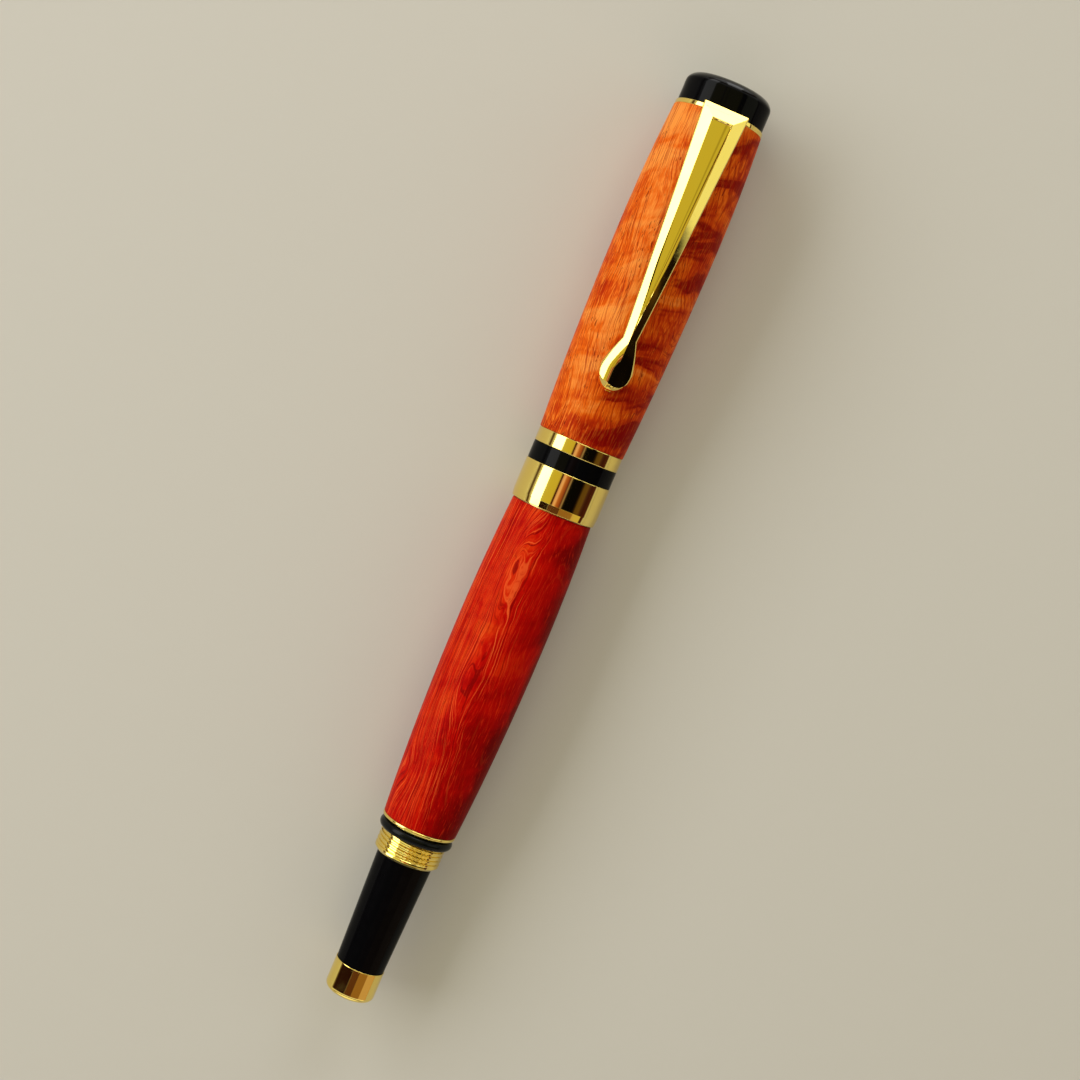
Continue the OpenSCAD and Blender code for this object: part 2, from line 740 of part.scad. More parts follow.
// Half the clip's width at a distance t from its free end
function clip_half(t) =
    t < clip_drop_at ? clip_drop_w / 2 * sqrt(1 - pow(1 - t / clip_drop_at, 2))
    : t < clip_neck_at
        ? clip_neck_w / 2 + (clip_drop_w - clip_neck_w) / 2
            * (1 - pow((t - clip_drop_at) / (clip_neck_at - clip_drop_at), clip_drop_curve))
    : clip_neck_w / 2 + (clip_top_w - clip_neck_w) / 2 * (t - clip_neck_at) / (clip_len - clip_neck_at);

// How far the drop's rounded outline lies from the free end at a place y across it
function drop_outline(y) =
    clip_drop_at * (1 - sqrt(max(0, 1 - pow(2 * y / clip_drop_w, 2))));

// Height over the pen's axis of a line that leaves the drop's pad and runs on over the wood
function clip_line(t) =
    cap_wood_r(clip_start + t) + clip_pad_gap
    + clip_rise * smooth((t - clip_drop_at) / clip_gap_run);

// Height of the clip's underside over the pen's axis: it thickens down to the wood near the ring
function clip_under(t) =
    clip_line(t) - clip_rise * smooth((t - clip_len + clip_gap_run) / (clip_gap_run - 1));

// Height over the pen's axis of the middle of the clip's top
function clip_crown(t) =
    clip_line(t) + clip_drop_t
    + (clip_bar_t - clip_drop_t) * smooth((t - clip_drop_at) / (clip_neck_at - clip_drop_at))
    + (clip_root_t - clip_rise - clip_bar_t) * smooth((t - clip_len / 2) / (clip_len / 2));

// Height of the top over the axis at t along and y across, before its end is sloped: over the drop
// a low roof with a bevelled front, then rims that slope to the sides of a trough
function clip_ridge(t, y) =
    let (crown = clip_crown(t),
         inner = trough_share * clip_half(t),
         turning = smooth((t - clip_neck_at) / (clip_len / 2)),
         tilt = rim_neck_tilt + (rim_root_tilt - rim_neck_tilt) * turning,
         rim = crown - tan(tilt) * max(0, abs(y) - inner),
         deep = smooth((t - clip_neck_at) / trough_run)
             * (1 - smooth((t - trough_stop) / trough_wall + 1)),
         trough = crown - deep * (trough_step + trough_bowl * (1 - pow(y / inner, 2))),
         bar = abs(y) < inner ? trough : rim,
         roof = min(crown - tan(drop_tilt) * abs(y),
                    crown - clip_drop_t * drop_foot_share
                        + tan(drop_front_tilt) * (t - drop_outline(y))),
         share = smooth((t - clip_drop_at) / (clip_neck_at - clip_drop_at)))
    roof * (1 - share) + bar * share;

// The same height with the slope down to the ring end
function clip_top(t, y) =
    min(clip_ridge(t, y), clip_crown(t) - tan(rim_root_tilt) * max(0, t - trough_stop));

// Points across the top from -y to +y, with a pair at each edge of the trough
function clip_across(t) =
    let (w = clip_half(t), edge = trough_share)
    [for (v = [-1, -0.8, -rim_mark, -edge, -edge + 0.04, -0.3, -0.15, 0,
               0.15, 0.3, edge - 0.04, edge, rim_mark, 0.8, 1]) v * w];

// One ring of points round the arm
function clip_ring_points(t) =
    let (under = clip_under(t), w = clip_half(t), lift = (clip_crown(t) - under) * 0.12)
    concat(
        [for (y = clip_across(t)) [clip_top(t, y), y, clip_start + t]],
        [for (p = [[1, lift], [0.8, 0], [0, 0], [-0.8, 0], [-1, lift]])
            [under + p[1], p[0] * w, clip_start + t]]);

// Springing arm, from its drop to the slit beside the ring
module clip_arm() {
    first = 0.03;
    round_steps = [for (i = [0:9]) first + (clip_drop_at - first) * (1 - cos(90 * i / 9))];
    bar_steps = [for (i = [1:30]) clip_drop_at + (trough_stop - clip_drop_at) * i / 30];
    end_steps = [trough_stop + clip_half(trough_stop) * (rim_mark - trough_share), arm_len];
    color(gold)
        lay()
            skin([for (t = concat(round_steps, bar_steps, end_steps)) clip_ring_points(t)]);
}

// Ring that the finial clamps, with the clip's root standing on it and sloping like the arm's end
module clip_ring() {
    root_under = clip_ring_d / 2 - root_sink;
    color(gold)
        union() {
            turned([[stud_d / 2 + fit_gap, cap_end], [clip_ring_d / 2 - edge_break, cap_end],
                    [clip_ring_d / 2, cap_end + edge_break], [clip_ring_d / 2, ring_end - edge_break],
                    [clip_ring_d / 2 - edge_break, ring_end], [stud_d / 2 + fit_gap, ring_end]]);
            lay()
                difference() {
                    translate([0, 0, cap_end])
                        linear_extrude(clip_ring_len)
                            polygon(concat(
                                [[root_under, -clip_top_w / 2]],
                                [for (y = clip_across(clip_len)) [clip_ridge(clip_len, y), y]],
                                [[root_under, clip_top_w / 2]]));
                    translate([clip_crown(clip_len), -clip_top_w, clip_start + trough_stop])
                        rotate([0, -rim_root_tilt, 0])
                            translate([0, 0, -clip_top_w])
                                cube(clip_top_w * 2);
                }
        }
}

barrel_wood();
barrel_tube();
front_coupler();
rear_coupler();
rear_trim_ring();
rear_o_ring();
posting_sleeve();
end_cap();
refill_spring();
thread_collar();
grip();
nose_cone();
refill_tube();
refill_tail_plug();
ink_filler();
refill_front();
feed_wick();
refill_point();
writing_ball();
cap_liner();
center_band();
accent_ring();
upper_band();
cap_wood();
cap_tube();
cap_bushing();
clip_ring();
clip_arm();
finial();
finial_stud();
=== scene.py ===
import math

import bpy
import numpy as np
from mathutils import Matrix, Vector


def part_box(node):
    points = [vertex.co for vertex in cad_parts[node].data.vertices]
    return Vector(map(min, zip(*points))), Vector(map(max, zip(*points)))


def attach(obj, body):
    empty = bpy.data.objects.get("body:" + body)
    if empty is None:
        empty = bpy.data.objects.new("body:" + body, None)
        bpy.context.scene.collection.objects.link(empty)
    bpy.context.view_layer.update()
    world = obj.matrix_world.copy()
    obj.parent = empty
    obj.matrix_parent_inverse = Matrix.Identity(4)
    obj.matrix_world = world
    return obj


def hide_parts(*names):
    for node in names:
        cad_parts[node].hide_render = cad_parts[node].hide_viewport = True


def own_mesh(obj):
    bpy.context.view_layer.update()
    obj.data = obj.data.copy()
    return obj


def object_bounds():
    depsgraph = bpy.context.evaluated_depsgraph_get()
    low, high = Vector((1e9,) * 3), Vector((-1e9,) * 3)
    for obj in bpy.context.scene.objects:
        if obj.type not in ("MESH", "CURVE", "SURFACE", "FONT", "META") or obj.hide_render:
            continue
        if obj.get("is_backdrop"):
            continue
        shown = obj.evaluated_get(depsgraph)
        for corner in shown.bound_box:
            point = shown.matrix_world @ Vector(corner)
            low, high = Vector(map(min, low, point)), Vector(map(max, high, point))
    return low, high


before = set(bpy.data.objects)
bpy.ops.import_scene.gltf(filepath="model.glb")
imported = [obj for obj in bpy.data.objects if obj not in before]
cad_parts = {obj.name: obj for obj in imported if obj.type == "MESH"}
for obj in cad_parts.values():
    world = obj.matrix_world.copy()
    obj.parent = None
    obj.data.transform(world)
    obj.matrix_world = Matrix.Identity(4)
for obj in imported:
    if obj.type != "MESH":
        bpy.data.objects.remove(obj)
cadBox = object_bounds()
mm = 0.001


# A node's start, end and radius in millimetres: its box along X, and half its width
def nodeSpan(node):
    low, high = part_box(node)
    return low[0] / mm, high[0] / mm, (high[1] - low[1]) / 2 / mm


tailX = nodeSpan("end_cap")[0]
axisZ = (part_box("barrel_wood")[0][2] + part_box("barrel_wood")[1][2]) / 2 / mm
gap = 0.03  # shown between pieces that meet
hair = 0.02  # keeps neighbouring points apart
around = 160  # points round a turned piece
threadAround = 240  # points round a threaded one
woodAround = 192  # points round a wooden one
woodAlong = 80  # and along it
print("frame: tail at", round(tailX, 3), "mm, axis at", round(axisZ, 3), "mm")


# 0 below 0, 1 above 1, and the S-curve 3c² - 2c³ between
def smooth(x):
    c = np.clip(x, 0, 1)
    return c * c * (3 - 2 * c)


# A vector over its own length
def unit(vector):
    return vector / np.linalg.norm(vector)


# A polyline with its corners rounded: each corner with a radius becomes an arc that touches
# both its sides, walked from the first touching point to the last by equal angles
def rounded(points, radii, steps=6):
    out = []
    count = len(points)
    for i, corner in enumerate(points):
        radius = radii.get(i, 0)
        if not radius:
            out.append(corner)
            continue
        here = np.array(corner, float)
        back = unit(points[i - 1] - here)
        ahead = unit(points[(i + 1) % count] - here)
        half = math.acos(np.clip(back @ ahead, -1, 1)) / 2
        centre = here + unit(back + ahead) * radius / math.sin(half)
        first = here + back * radius / math.tan(half) - centre
        last = here + ahead * radius / math.tan(half) - centre
        sweep = math.acos(np.clip(first @ last / radius / radius, -1, 1))
        for k in range(steps + 1):
            a = sweep * k / steps
            spoke = (first * math.sin(sweep - a) + last * math.sin(a)) / math.sin(sweep)
            out.append(tuple(centre + spoke))
    return out


# Mesh, light or camera data as an object in the scene
def addObject(name, data):
    thing = bpy.data.objects.new(name, data)
    bpy.context.scene.collection.objects.link(thing)
    return thing


# A piece from whole arrays, on its body, in place of a node and with a finish, which is a material and
# a slot name that is not used; edges sharper than the angle stay crisp
def meshPiece(name, verts, faces, body, node, finish, crisp=32):
    mesh = bpy.data.meshes.new(name)
    mesh.from_pydata(np.asarray(verts, float).tolist(), [], [list(f) for f in faces])
    mesh.validate()
    mesh.update()
    mesh.polygons.foreach_set("use_smooth", np.ones(len(mesh.polygons), bool))
    mesh.set_sharp_from_angle(angle=math.radians(crisp))
    mesh.materials.append(finish[0])
    piece = addObject(name, mesh)
    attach(piece, body)
    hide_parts(node)
    return piece


# Points in metres from arrays of their three coordinates in millimetres
def gridPoints(x, y, z):
    return np.stack(np.broadcast_arrays(x, y, z), axis=-1).reshape(-1, 3) * mm


# Faces of a grid whose rows run round; closed joins the last row to the first
def gridFaces(rows, columns, closed):
    last = rows if closed else rows - 1
    i, j = np.meshgrid(np.arange(last), np.arange(columns), indexing="ij")
    up = (i + 1) % rows
    right = (j + 1) % columns
    corners = [i * columns + j, i * columns + right, up * columns + right, up * columns + j]
    return np.stack(corners, axis=-1).reshape(-1, 4).tolist()


# Points at a station, radius and turn: y is the radius times the turn's sine, z the axis plus cosine
def ringPoints(stations, radii):
    turn = np.linspace(0, 2 * np.pi, radii.shape[1], endpoint=False)
    return gridPoints(stations[:, None], radii * np.sin(turn), axisZ + radii * np.cos(turn))


# An outline with a point close to both ends of each long straight, so that the shading of a rounded
# corner ends where the straight begins
def held(outline, close=0.06, long=0.5):
    outline = np.array(outline, float)
    step = np.diff(outline, axis=0)
    length = np.hypot(step[:, 0], step[:, 1])
    out = [outline[0]]
    for here, ahead, way, size in zip(outline[:-1], outline[1:], step, length):
        if size > long:
            out += [here + way * close / size, ahead - way * close / size]
        out.append(ahead)
    return np.array(out)


# Mesh of a solid of revolution from (x, radius) points, listed with the metal on their right;
# an outline that starts and ends on the axis is closed with a fan of triangles at each end
def turnedMesh(outline, shape=None, columns=around):
    outline = held(outline)
    onAxis = outline[0, 1] < 1e-6
    ends = outline[[0, -1], 0]
    if onAxis:
        outline = outline[1:-1]
    radii = np.repeat(outline[:, 1:], columns, axis=1)
    if shape is not None:
        radii = shape(outline[:, 0], radii)
    verts = ringPoints(outline[:, 0], radii)
    rows = len(outline)
    faces = gridFaces(rows, columns, not onAxis)
    if onAxis:
        first = len(verts)
        verts = np.vstack([verts, np.array([[ends[0], 0, axisZ], [ends[1], 0, axisZ]]) * mm])
        base = (rows - 1) * columns
        j = np.arange(columns)
        ahead = (j + 1) % columns
        faces += np.stack([np.full(columns, first), ahead, j], axis=-1).tolist()
        faces += np.stack([np.full(columns, first + 1), base + j, base + ahead], axis=-1).tolist()
    return verts, faces


# A turned mesh as a piece
def turnedPiece(name, outline, body, node, finish, shape=None, columns=around):
    verts, faces = turnedMesh(outline, shape, columns)
    meshPiece(name, verts, faces, body, node, finish)


# The thread that the cap runs on, at either end of the pen; top and flank are shares of half a pitch
capThread = dict(radius=5.15, length=3.45, pitch=0.7, starts=2, depth=0.26, land=0.65, lead=0.4,
                 step=0.03, top=0.28, flank=0.45, fade=0.35)


# Helical ridges on the points that stand at the crest: station over pitch less the starts times
# the turn gives a phase, and the radius falls by the depth where it is far from a whole number;
# the fall fades in and out at the thread's ends
def threadShape(start, end, crest):
    def shape(stations, radii):
        turn = np.linspace(0, 1, radii.shape[1], endpoint=False)
        phase = stations[:, None] / capThread["pitch"] - capThread["starts"] * turn[None, :]
        valley = smooth((np.abs(phase - np.round(phase)) * 2 - capThread["top"]) / capThread["flank"])
        fade = capThread["fade"]
        inside = smooth((stations - start) / fade) * smooth((end - stations) / fade)
        onCrest = np.abs(radii - crest) < 1e-6
        return np.where(onCrest, radii - capThread["depth"] * valley * inside[:, None], radii)
    return shape


# Evenly spaced stations at one radius
def straight(start, end, radius, step):
    count = max(2, int(round(abs(end - start) / step)) + 1)
    return [(x, radius) for x in np.linspace(start, end, count)]


# A shader node with its settings, and its inputs linked to sockets or set to plain values
def addNode(tree, kind, inputs=None, **settings):
    node = tree.nodes.new(kind)
    for key, value in settings.items():
        setattr(node, key, value)
    setInputs(tree, node, inputs or {})
    return node


# Links or plain values put on a node's inputs
def setInputs(tree, node, values):
    for key, value in values.items():
        if isinstance(value, bpy.types.NodeSocket):
            tree.links.new(value, node.inputs[key])
        else:
            node.inputs[key].default_value = value


# One arithmetic step between sockets or numbers
def sums(tree, operation, a, b):
    return addNode(tree, "ShaderNodeMath", {0: a, 1: b}, operation=operation).outputs[0]


# The product of two sockets or numbers
def times(tree, a, b):
    return sums(tree, "MULTIPLY", a, b)


# The sum of sockets or numbers, each times its own weight
def weighted(tree, pairs):
    total = times(tree, *pairs[0])
    for value, weight in pairs[1:]:
        node = addNode(tree, "ShaderNodeMath", {0: value, 1: weight, 2: total}, operation="MULTIPLY_ADD")
        total = node.outputs[0]
    return total


# One vector step between sockets or triples
def vectors(tree, operation, a, b, result=0):
    node = addNode(tree, "ShaderNodeVectorMath", {0: a, 1: b}, operation=operation)
    return node.outputs[result]


# A vector stretched by three factors: a pattern on it is short where its factor is large
def stretched(tree, vector, factors):
    return vectors(tree, "MULTIPLY", vector, factors)


# A vector from three sockets or numbers
def joined(tree, x, y, z):
    return addNode(tree, "ShaderNodeCombineXYZ", {0: x, 1: y, 2: z}).outputs[0]


# Fractal noise, as a value round a half
def noise(tree, vector, scale=1.0, detail=3.0, roughness=0.5, distortion=0.0, output="Fac"):
    values = {"Vector": vector, "Scale": scale, "Detail": detail, "Roughness": roughness,
              "Distortion": distortion}
    return addNode(tree, "ShaderNodeTexNoise", values).outputs[output]


# A value moved from one range to 0..1
def remap(tree, value, low, high, kind="SMOOTHSTEP"):
    values = {"Value": value, "From Min": low, "From Max": high}
    return addNode(tree, "ShaderNodeMapRange", values, interpolation_type=kind).outputs["Result"]


# Share of the way along the pen between two distances from its tail
def forwards(tree, place, first, last):
    along = addNode(tree, "ShaderNodeSeparateXYZ", {"Vector": place}).outputs[0]
    return remap(tree, along, tailX + first, tailX + last)


# One colour over another by a factor; a plain colour is a triple
def mixColour(tree, factor, a, b):
    a, b = [(*colour, 1) if isinstance(colour, tuple) else colour for colour in (a, b)]
    return addNode(tree, "ShaderNodeMix", {0: factor, 6: a, 7: b}, data_type="RGBA").outputs[2]


# A colour laid over another by a mask times a weight
def tint(tree, under, mask, weight, over):
    return mixColour(tree, times(tree, mask, weight), under, over)


# Colours at rising places from 0 to 1, straight between them
def colourRamp(tree, value, stops):
    node = addNode(tree, "ShaderNodeValToRGB", {"Fac": value})
    ramp = node.color_ramp.elements
    ramp.remove(ramp[1])
    ramp[0].position = stops[0][0]
    ramp[0].color = (*stops[0][1], 1)
    for place, colour in stops[1:]:
        ramp.new(place).color = (*colour, 1)
    return node.outputs["Color"]


# A shader group: inputs by name with their values, a triple for a vector, and outputs by name; build
# fills it and returns its output sockets
def makeGroup(name, inputs, outputs, build):
    tree = bpy.data.node_groups.new(name, "ShaderNodeTree")
    for key, value in inputs.items():
        kind = "NodeSocketVector" if isinstance(value, tuple) else "NodeSocketFloat"
        tree.interface.new_socket(key, in_out="INPUT", socket_type=kind).default_value = value
    for key in outputs:
        tree.interface.new_socket(key, in_out="OUTPUT", socket_type="NodeSocketFloat")
    entry = tree.nodes.new("NodeGroupInput")
    leave = tree.nodes.new("NodeGroupOutput")
    setInputs(tree, leave, build(tree, entry.outputs))
    return tree


# A group placed in a material with its own values
def useGroup(tree, group, inputs):
    return addNode(tree, "ShaderNodeGroup", inputs, node_tree=group).outputs


# A new material with its Principled shader, and the object's place in millimetres
def newMaterial(name):
    material = bpy.data.materials.new(name)
    material.use_nodes = True
    tree = material.node_tree
    shader = tree.nodes["Principled BSDF"]
    place = addNode(tree, "ShaderNodeTexCoord").outputs["Object"]
    return material, tree, shader, stretched(tree, place, (1 / mm,) * 3)


# Bump from a height in millimetres
def bump(tree, height):
    return addNode(tree, "ShaderNodeBump", {"Height": height, "Distance": mm}).outputs["Normal"]


# Handling wear on a shine: smears are broad noise, scratches are noise drawn out along and across
# the pen and cut at its peaks; both add to the roughness, and waviness and scratches to the height
def buildWear(tree, inputs):
    place = inputs["Place"]
    smear = remap(tree, noise(tree, place, 0.35, 3, 0.6, 0.4), 0.42, 0.72)
    along = stretched(tree, place, (0.5, 7.0, 7.0))
    across = stretched(tree, place, (9.0, 0.9, 0.9))
    hairs = sums(tree, "MAXIMUM", noise(tree, along, 3, 2, 0.6), noise(tree, across, 3, 2, 0.6))
    hairs = remap(tree, hairs, 0.68, 0.8)
    rough = weighted(tree, [(smear, inputs["Smears"]), (hairs, inputs["Scratches"])])
    height = weighted(tree, [(noise(tree, place, 0.9, 2), inputs["Waviness"]), (hairs, -0.0004)])
    return {"Roughness": sums(tree, "ADD", rough, inputs["Polish"]), "Height": height}


wearInputs = dict(Place=(0, 0, 0), Polish=0.05, Smears=0.05, Scratches=0.1, Waviness=0.002)
wearGroup = makeGroup("wear", wearInputs, ("Roughness", "Height"), buildWear)


# Wear placed in a material
def worn(tree, place, polish, smears, scratches, waviness):
    values = {"Place": place, "Polish": polish, "Smears": smears, "Scratches": scratches,
              "Waviness": waviness}
    return useGroup(tree, wearGroup, values)


# Figured wood as a solid: growth layers counted along a direction through slow and quick warps and
# the swell of a knot; lines and fibres as noise that is long along the pen and narrow across the
# layers, short pores, and soft bands across the fibres where they lean towards and from the eye, the
# wood's figure with its sheen painted in as lighter and darker colour
def buildGrain(tree, inputs):
    place = inputs["Place"]
    bent = place
    warps = [("Bend", (0.05, 0.11, 0.11), 0.4), ("Ripple", (0.22, 0.5, 0.5), 0.5)]
    for amount, scales, roughness in warps:
        warp = noise(tree, stretched(tree, place, scales), 1.0, 2, roughness, output="Color")
        warp = vectors(tree, "SUBTRACT", warp, (0.5, 0.5, 0.5))
        warp = addNode(tree, "ShaderNodeVectorMath", {0: warp, "Scale": inputs[amount]}, operation="SCALE")
        bent = vectors(tree, "ADD", bent, warp.outputs[0])
    along, aside, above = addNode(tree, "ShaderNodeSeparateXYZ", {"Vector": bent}).outputs
    depth = vectors(tree, "DOT_PRODUCT", bent, inputs["Across"], "Value")
    depth = sums(tree, "ADD", depth, inputs["Swell"])
    layer = sums(tree, "DIVIDE", depth, inputs["LayerWidth"])
    lineAt = joined(tree, times(tree, along, 0.09), layer, times(tree, above, 0.15))
    broadAt = joined(tree, times(tree, along, 0.06), depth, times(tree, above, 0.1))
    slant = weighted(tree, [(along, 0.30), (aside, 0.12)])
    leanAt = joined(tree, slant, times(tree, aside, 0.09), times(tree, above, 0.09))
    pores = remap(tree, noise(tree, stretched(tree, bent, (0.9, 3.9, 3.9)), 1.0, 1), 0.63, 0.69)
    clusters = remap(tree, noise(tree, stretched(tree, place, (0.2, 0.3, 0.3)), 1.0, 1), 0.44, 0.60)
    return {"Line": noise(tree, lineAt, 1.0, 3, 0.55),
            "Fibre": noise(tree, stretched(tree, bent, (0.45, 4.0, 4.0)), 1.0, 2, 0.6),
            "Broad": noise(tree, broadAt, 0.8, 2),
            "Pores": times(tree, pores, clusters),
            "Lean": noise(tree, leanAt, 1.0, 3, 0.5, 0.5),
            "Patch": noise(tree, stretched(tree, bent, (0.09, 0.22, 0.22)), 1.0, 3, 0.5, 0.3)}


grainInputs = dict(Place=(0, 0, 0), Across=(0, 0, 1), Bend=6.0, Ripple=0.6, Swell=0.0, LayerWidth=0.4)
grainOutputs = ("Line", "Fibre", "Broad", "Pores", "Lean", "Patch")
grainGroup = makeGroup("grain", grainInputs, grainOutputs, buildGrain)
print("shader groups made")


# Puts a metal's colour, roughness and relief on its shader
def setMetal(tree, shader, colour, roughness, height):
    setInputs(tree, shader, {"Base Color": colour, "Metallic": 1.0, "Roughness": roughness,
                             "Normal": bump(tree, height)})


# Polished plating: a warm yellow mirror, a little paler in places
def goldMaterial():
    material, tree, shader, place = newMaterial("gold_plating")
    wear = worn(tree, place, 0.035, 0.05, 0.10, 0.0012)
    colour = mixColour(tree, noise(tree, place, 0.25, 2), (0.92, 0.69, 0.16), (0.91, 0.72, 0.21))
    setMetal(tree, shader, colour, wear["Roughness"], wear["Height"])
    return material


rawBrass = dict(wear=(0.24, 0.15, 0.15, 0.002), marks=(14.0, 0.05, 0.05), contrast=0.6, relief=0.006,
                dark=(0.56, 0.40, 0.15), light=(0.70, 0.53, 0.24))
brightSteel = dict(wear=(0.16, 0.10, 0.12, 0.001), marks=(12.0, 0.1, 0.1), contrast=0.5, relief=0.003,
                   dark=(0.55, 0.56, 0.58), light=(0.70, 0.71, 0.73))


# Metal as it comes off the lathe, with turning marks: noise that is short along the pen and long
# round it
def turnedMetal(name, look):
    material, tree, shader, place = newMaterial(name)
    wear = worn(tree, place, *look["wear"])
    marks = noise(tree, stretched(tree, place, look["marks"]), 1.0, 2, look["contrast"])
    height = sums(tree, "ADD", wear["Height"], times(tree, marks, look["relief"]))
    setMetal(tree, shader, mixColour(tree, marks, look["dark"], look["light"]), wear["Roughness"], height)
    return material


enamel = dict(dark=(0.0010, 0.0010, 0.0014), light=(0.0026, 0.0026, 0.0032), coat=0.10, buffed=0.85,
              buffedFrom=1.3, buffedTo=0.5)


# Black enamel: next to no shine of its own under a thin clear coat, which is thick where the far end
# of the pen is buffed
def blackMaterial():
    material, tree, shader, place = newMaterial("black_gloss")
    length = nodeSpan("finial")[1] - tailX
    edge = forwards(tree, place, length - enamel["buffedFrom"], length - enamel["buffedTo"])
    wear = worn(tree, place, 0.14, 0.07, 0.12, 0.0015)
    colour = mixColour(tree, noise(tree, place, 0.6, 2), enamel["dark"], enamel["light"])
    coat = weighted(tree, [(edge, enamel["buffed"]), (enamel["coat"], 1.0)])
    setInputs(tree, shader, {"Base Color": colour, "Roughness": wear["Roughness"],
                             "Specular IOR Level": 0.01, "Coat Weight": coat, "Coat Roughness": 0.06,
                             "Normal": bump(tree, wear["Height"])})
    return material


# Soft black rubber with a fine grain
def rubberMaterial():
    material, tree, shader, place = newMaterial("black_rubber")
    grain = noise(tree, place, 9.0, 3, 0.6)
    colour = mixColour(tree, grain, (0.0008, 0.0010, 0.0011), (0.003, 0.004, 0.004))
    setInputs(tree, shader, {"Base Color": colour, "Roughness": remap(tree, grain, 0.0, 2.4, "LINEAR"),
                             "Specular IOR Level": 0.12, "Normal": bump(tree, times(tree, grain, 0.004))})
    return material


# Moulded plastic in one colour, with a fine mould texture
def plasticMaterial(name, dark, light, roughness):
    material, tree, shader, place = newMaterial(name)
    grain = noise(tree, place, 5.0, 3, 0.55)
    rough = weighted(tree, [(grain, 0.15), (roughness, 1.0)])
    setInputs(tree, shader, {"Base Color": mixColour(tree, grain, dark, light), "Roughness": rough,
                             "Normal": bump(tree, times(tree, grain, 0.003))})
    return material


# A soft mound: its height times e to the minus square of the distance from its middle, measured in
# its own sizes; the middle is given from the tail and the axis
def mound(tree, place, middle, size, height):
    middle = (tailX + middle[0], middle[1], axisZ + middle[2])
    away = vectors(tree, "DIVIDE", vectors(tree, "SUBTRACT", place, middle), size)
    squared = vectors(tree, "DOT_PRODUCT", away, away, "Value")
    return times(tree, sums(tree, "POWER", math.e, times(tree, squared, -1.0)), height)


# Grain placed in a wood by its look, and the distance on its window side of the pen's axis, which sets
# where the wood is painted lit and where painted shaded; the patches move that distance, so that the
# border between the two sides is ragged
def grainAndSide(tree, place, look, swell):
    grain = useGroup(tree, grainGroup, {"Place": place, "Across": look["across"], "Bend": look["bend"],
                                        "Ripple": look["ripple"], "Swell": swell,
                                        "LayerWidth": look["layerWidth"]})
    moved = vectors(tree, "SUBTRACT", place, (0, 0, axisZ))
    side = vectors(tree, "DOT_PRODUCT", moved, look["window"], "Value")
    ragged = look["ragged"]
    return grain, weighted(tree, [(side, 1.0), (grain["Patch"], ragged), (-ragged / 2, 1.0)])


# Body colour of a wood: its grain values by the look's weights, and more, through its colours
def bodyColour(tree, grain, look, more):
    body = [(grain[value], weight) for value, weight in look["body"].items()]
    return colourRamp(tree, weighted(tree, body + more + [(look["base"], 1.0)]), look["colours"])


# Puts a wood's colour, pores, roughness and relief on its shader, which hardly shines
def setWood(tree, shader, colour, grain, look):
    colour = tint(tree, colour, grain["Pores"], look["poreDepth"], look["pore"])
    height = weighted(tree, [(grain[value], depth) for value, depth in look["relief"].items()])
    rough = weighted(tree, [(grain["Fibre"], 0.10), (look["rough"], 1.0)])
    setInputs(tree, shader, {"Base Color": colour, "Roughness": rough, "Specular IOR Level": 0.02,
                             "Normal": bump(tree, height)})


# Knots are mounds: middle, sizes and height
redWood = dict(
    across=(0.0, -0.70, 0.71), bend=2.6, ripple=0.45, layerWidth=0.10, window=(0, 0.94, 0.34), ragged=5.0,
    knots=[((71.0, 3.0, 6.1), (8.5, 1.9, 3.5), 2.3), ((53.0, 3.2, 6.0), (10.0, 1.9, 3.5), 2.1),
           ((37.0, 4.8, 4.4), (5.0, 1.8, 2.5), -2.0), ((44.0, -3.0, -6.0), (6.0, 2.0, 2.0), 2.2),
           ((66.0, -5.5, -3.0), (5.0, 2.0, 2.5), -2.0)],
    body=dict(Patch=0.6, Broad=0.35, Lean=0.50, Fibre=0.3), base=-0.59,
    colours=[(0.12, (0.15, 0.0006, 0.0005)), (0.34, (0.34, 0.0012, 0.0008)), (0.50, (0.47, 0.0035, 0.0012)),
             (0.66, (0.59, 0.021, 0.002)), (0.86, (0.70, 0.085, 0.006))],
    darkLine=(0.19, 0.001, 0.001), paleGlintLine=(0.84, 0.13, 0.026), fleck=(0.72, 0.040, 0.010),
    pore=(0.16, 0.002, 0.001), poreDepth=0.4, relief=dict(Pores=-0.006, Line=0.04, Fibre=0.014),
    rough=0.36)


# Red wood of the barrel: orange-red round the knots, painted light making it orange-red on the window
# side and painted shade making it deep red on the other, crossed by fine flowing grain lines that are
# dark on one side and pale on the other; the pale side is a painted glint
def barrelWoodMaterial():
    material, tree, shader, place = newMaterial("barrel_wood_finish")
    swell = weighted(tree, [(mound(tree, place, *knot), 1.0) for knot in redWood["knots"]])
    grain, side = grainAndSide(tree, place, redWood, swell)
    # painted light and shade: lighter towards the window side, darker towards the far side
    colour = bodyColour(tree, grain, redWood, [
        (remap(tree, side, 1.0, 4.5), 0.20), (remap(tree, side, -1.5, -6.0), -0.28), (swell, 0.03),
        (forwards(tree, place, 32, 68), 0.11)])
    # grain lines drawn mostly on the window side, where painted light shows them
    litSideLineShare = weighted(tree, [(remap(tree, side, 0.0, 3.5), 0.87), (swell, -0.06), (0.08, 1.0)])
    dark = times(tree, remap(tree, grain["Line"], 0.48, 0.38), litSideLineShare)
    colour = tint(tree, colour, dark, 0.92, redWood["darkLine"])
    # painted glint: the pale side of each grain line
    pale = times(tree, remap(tree, grain["Line"], 0.55, 0.65), litSideLineShare)
    colour = tint(tree, colour, pale, 0.72, redWood["paleGlintLine"])
    colour = tint(tree, colour, remap(tree, grain["Fibre"], 0.58, 0.68), 0.30, redWood["fleck"])
    setWood(tree, shader, colour, grain, redWood)
    return material


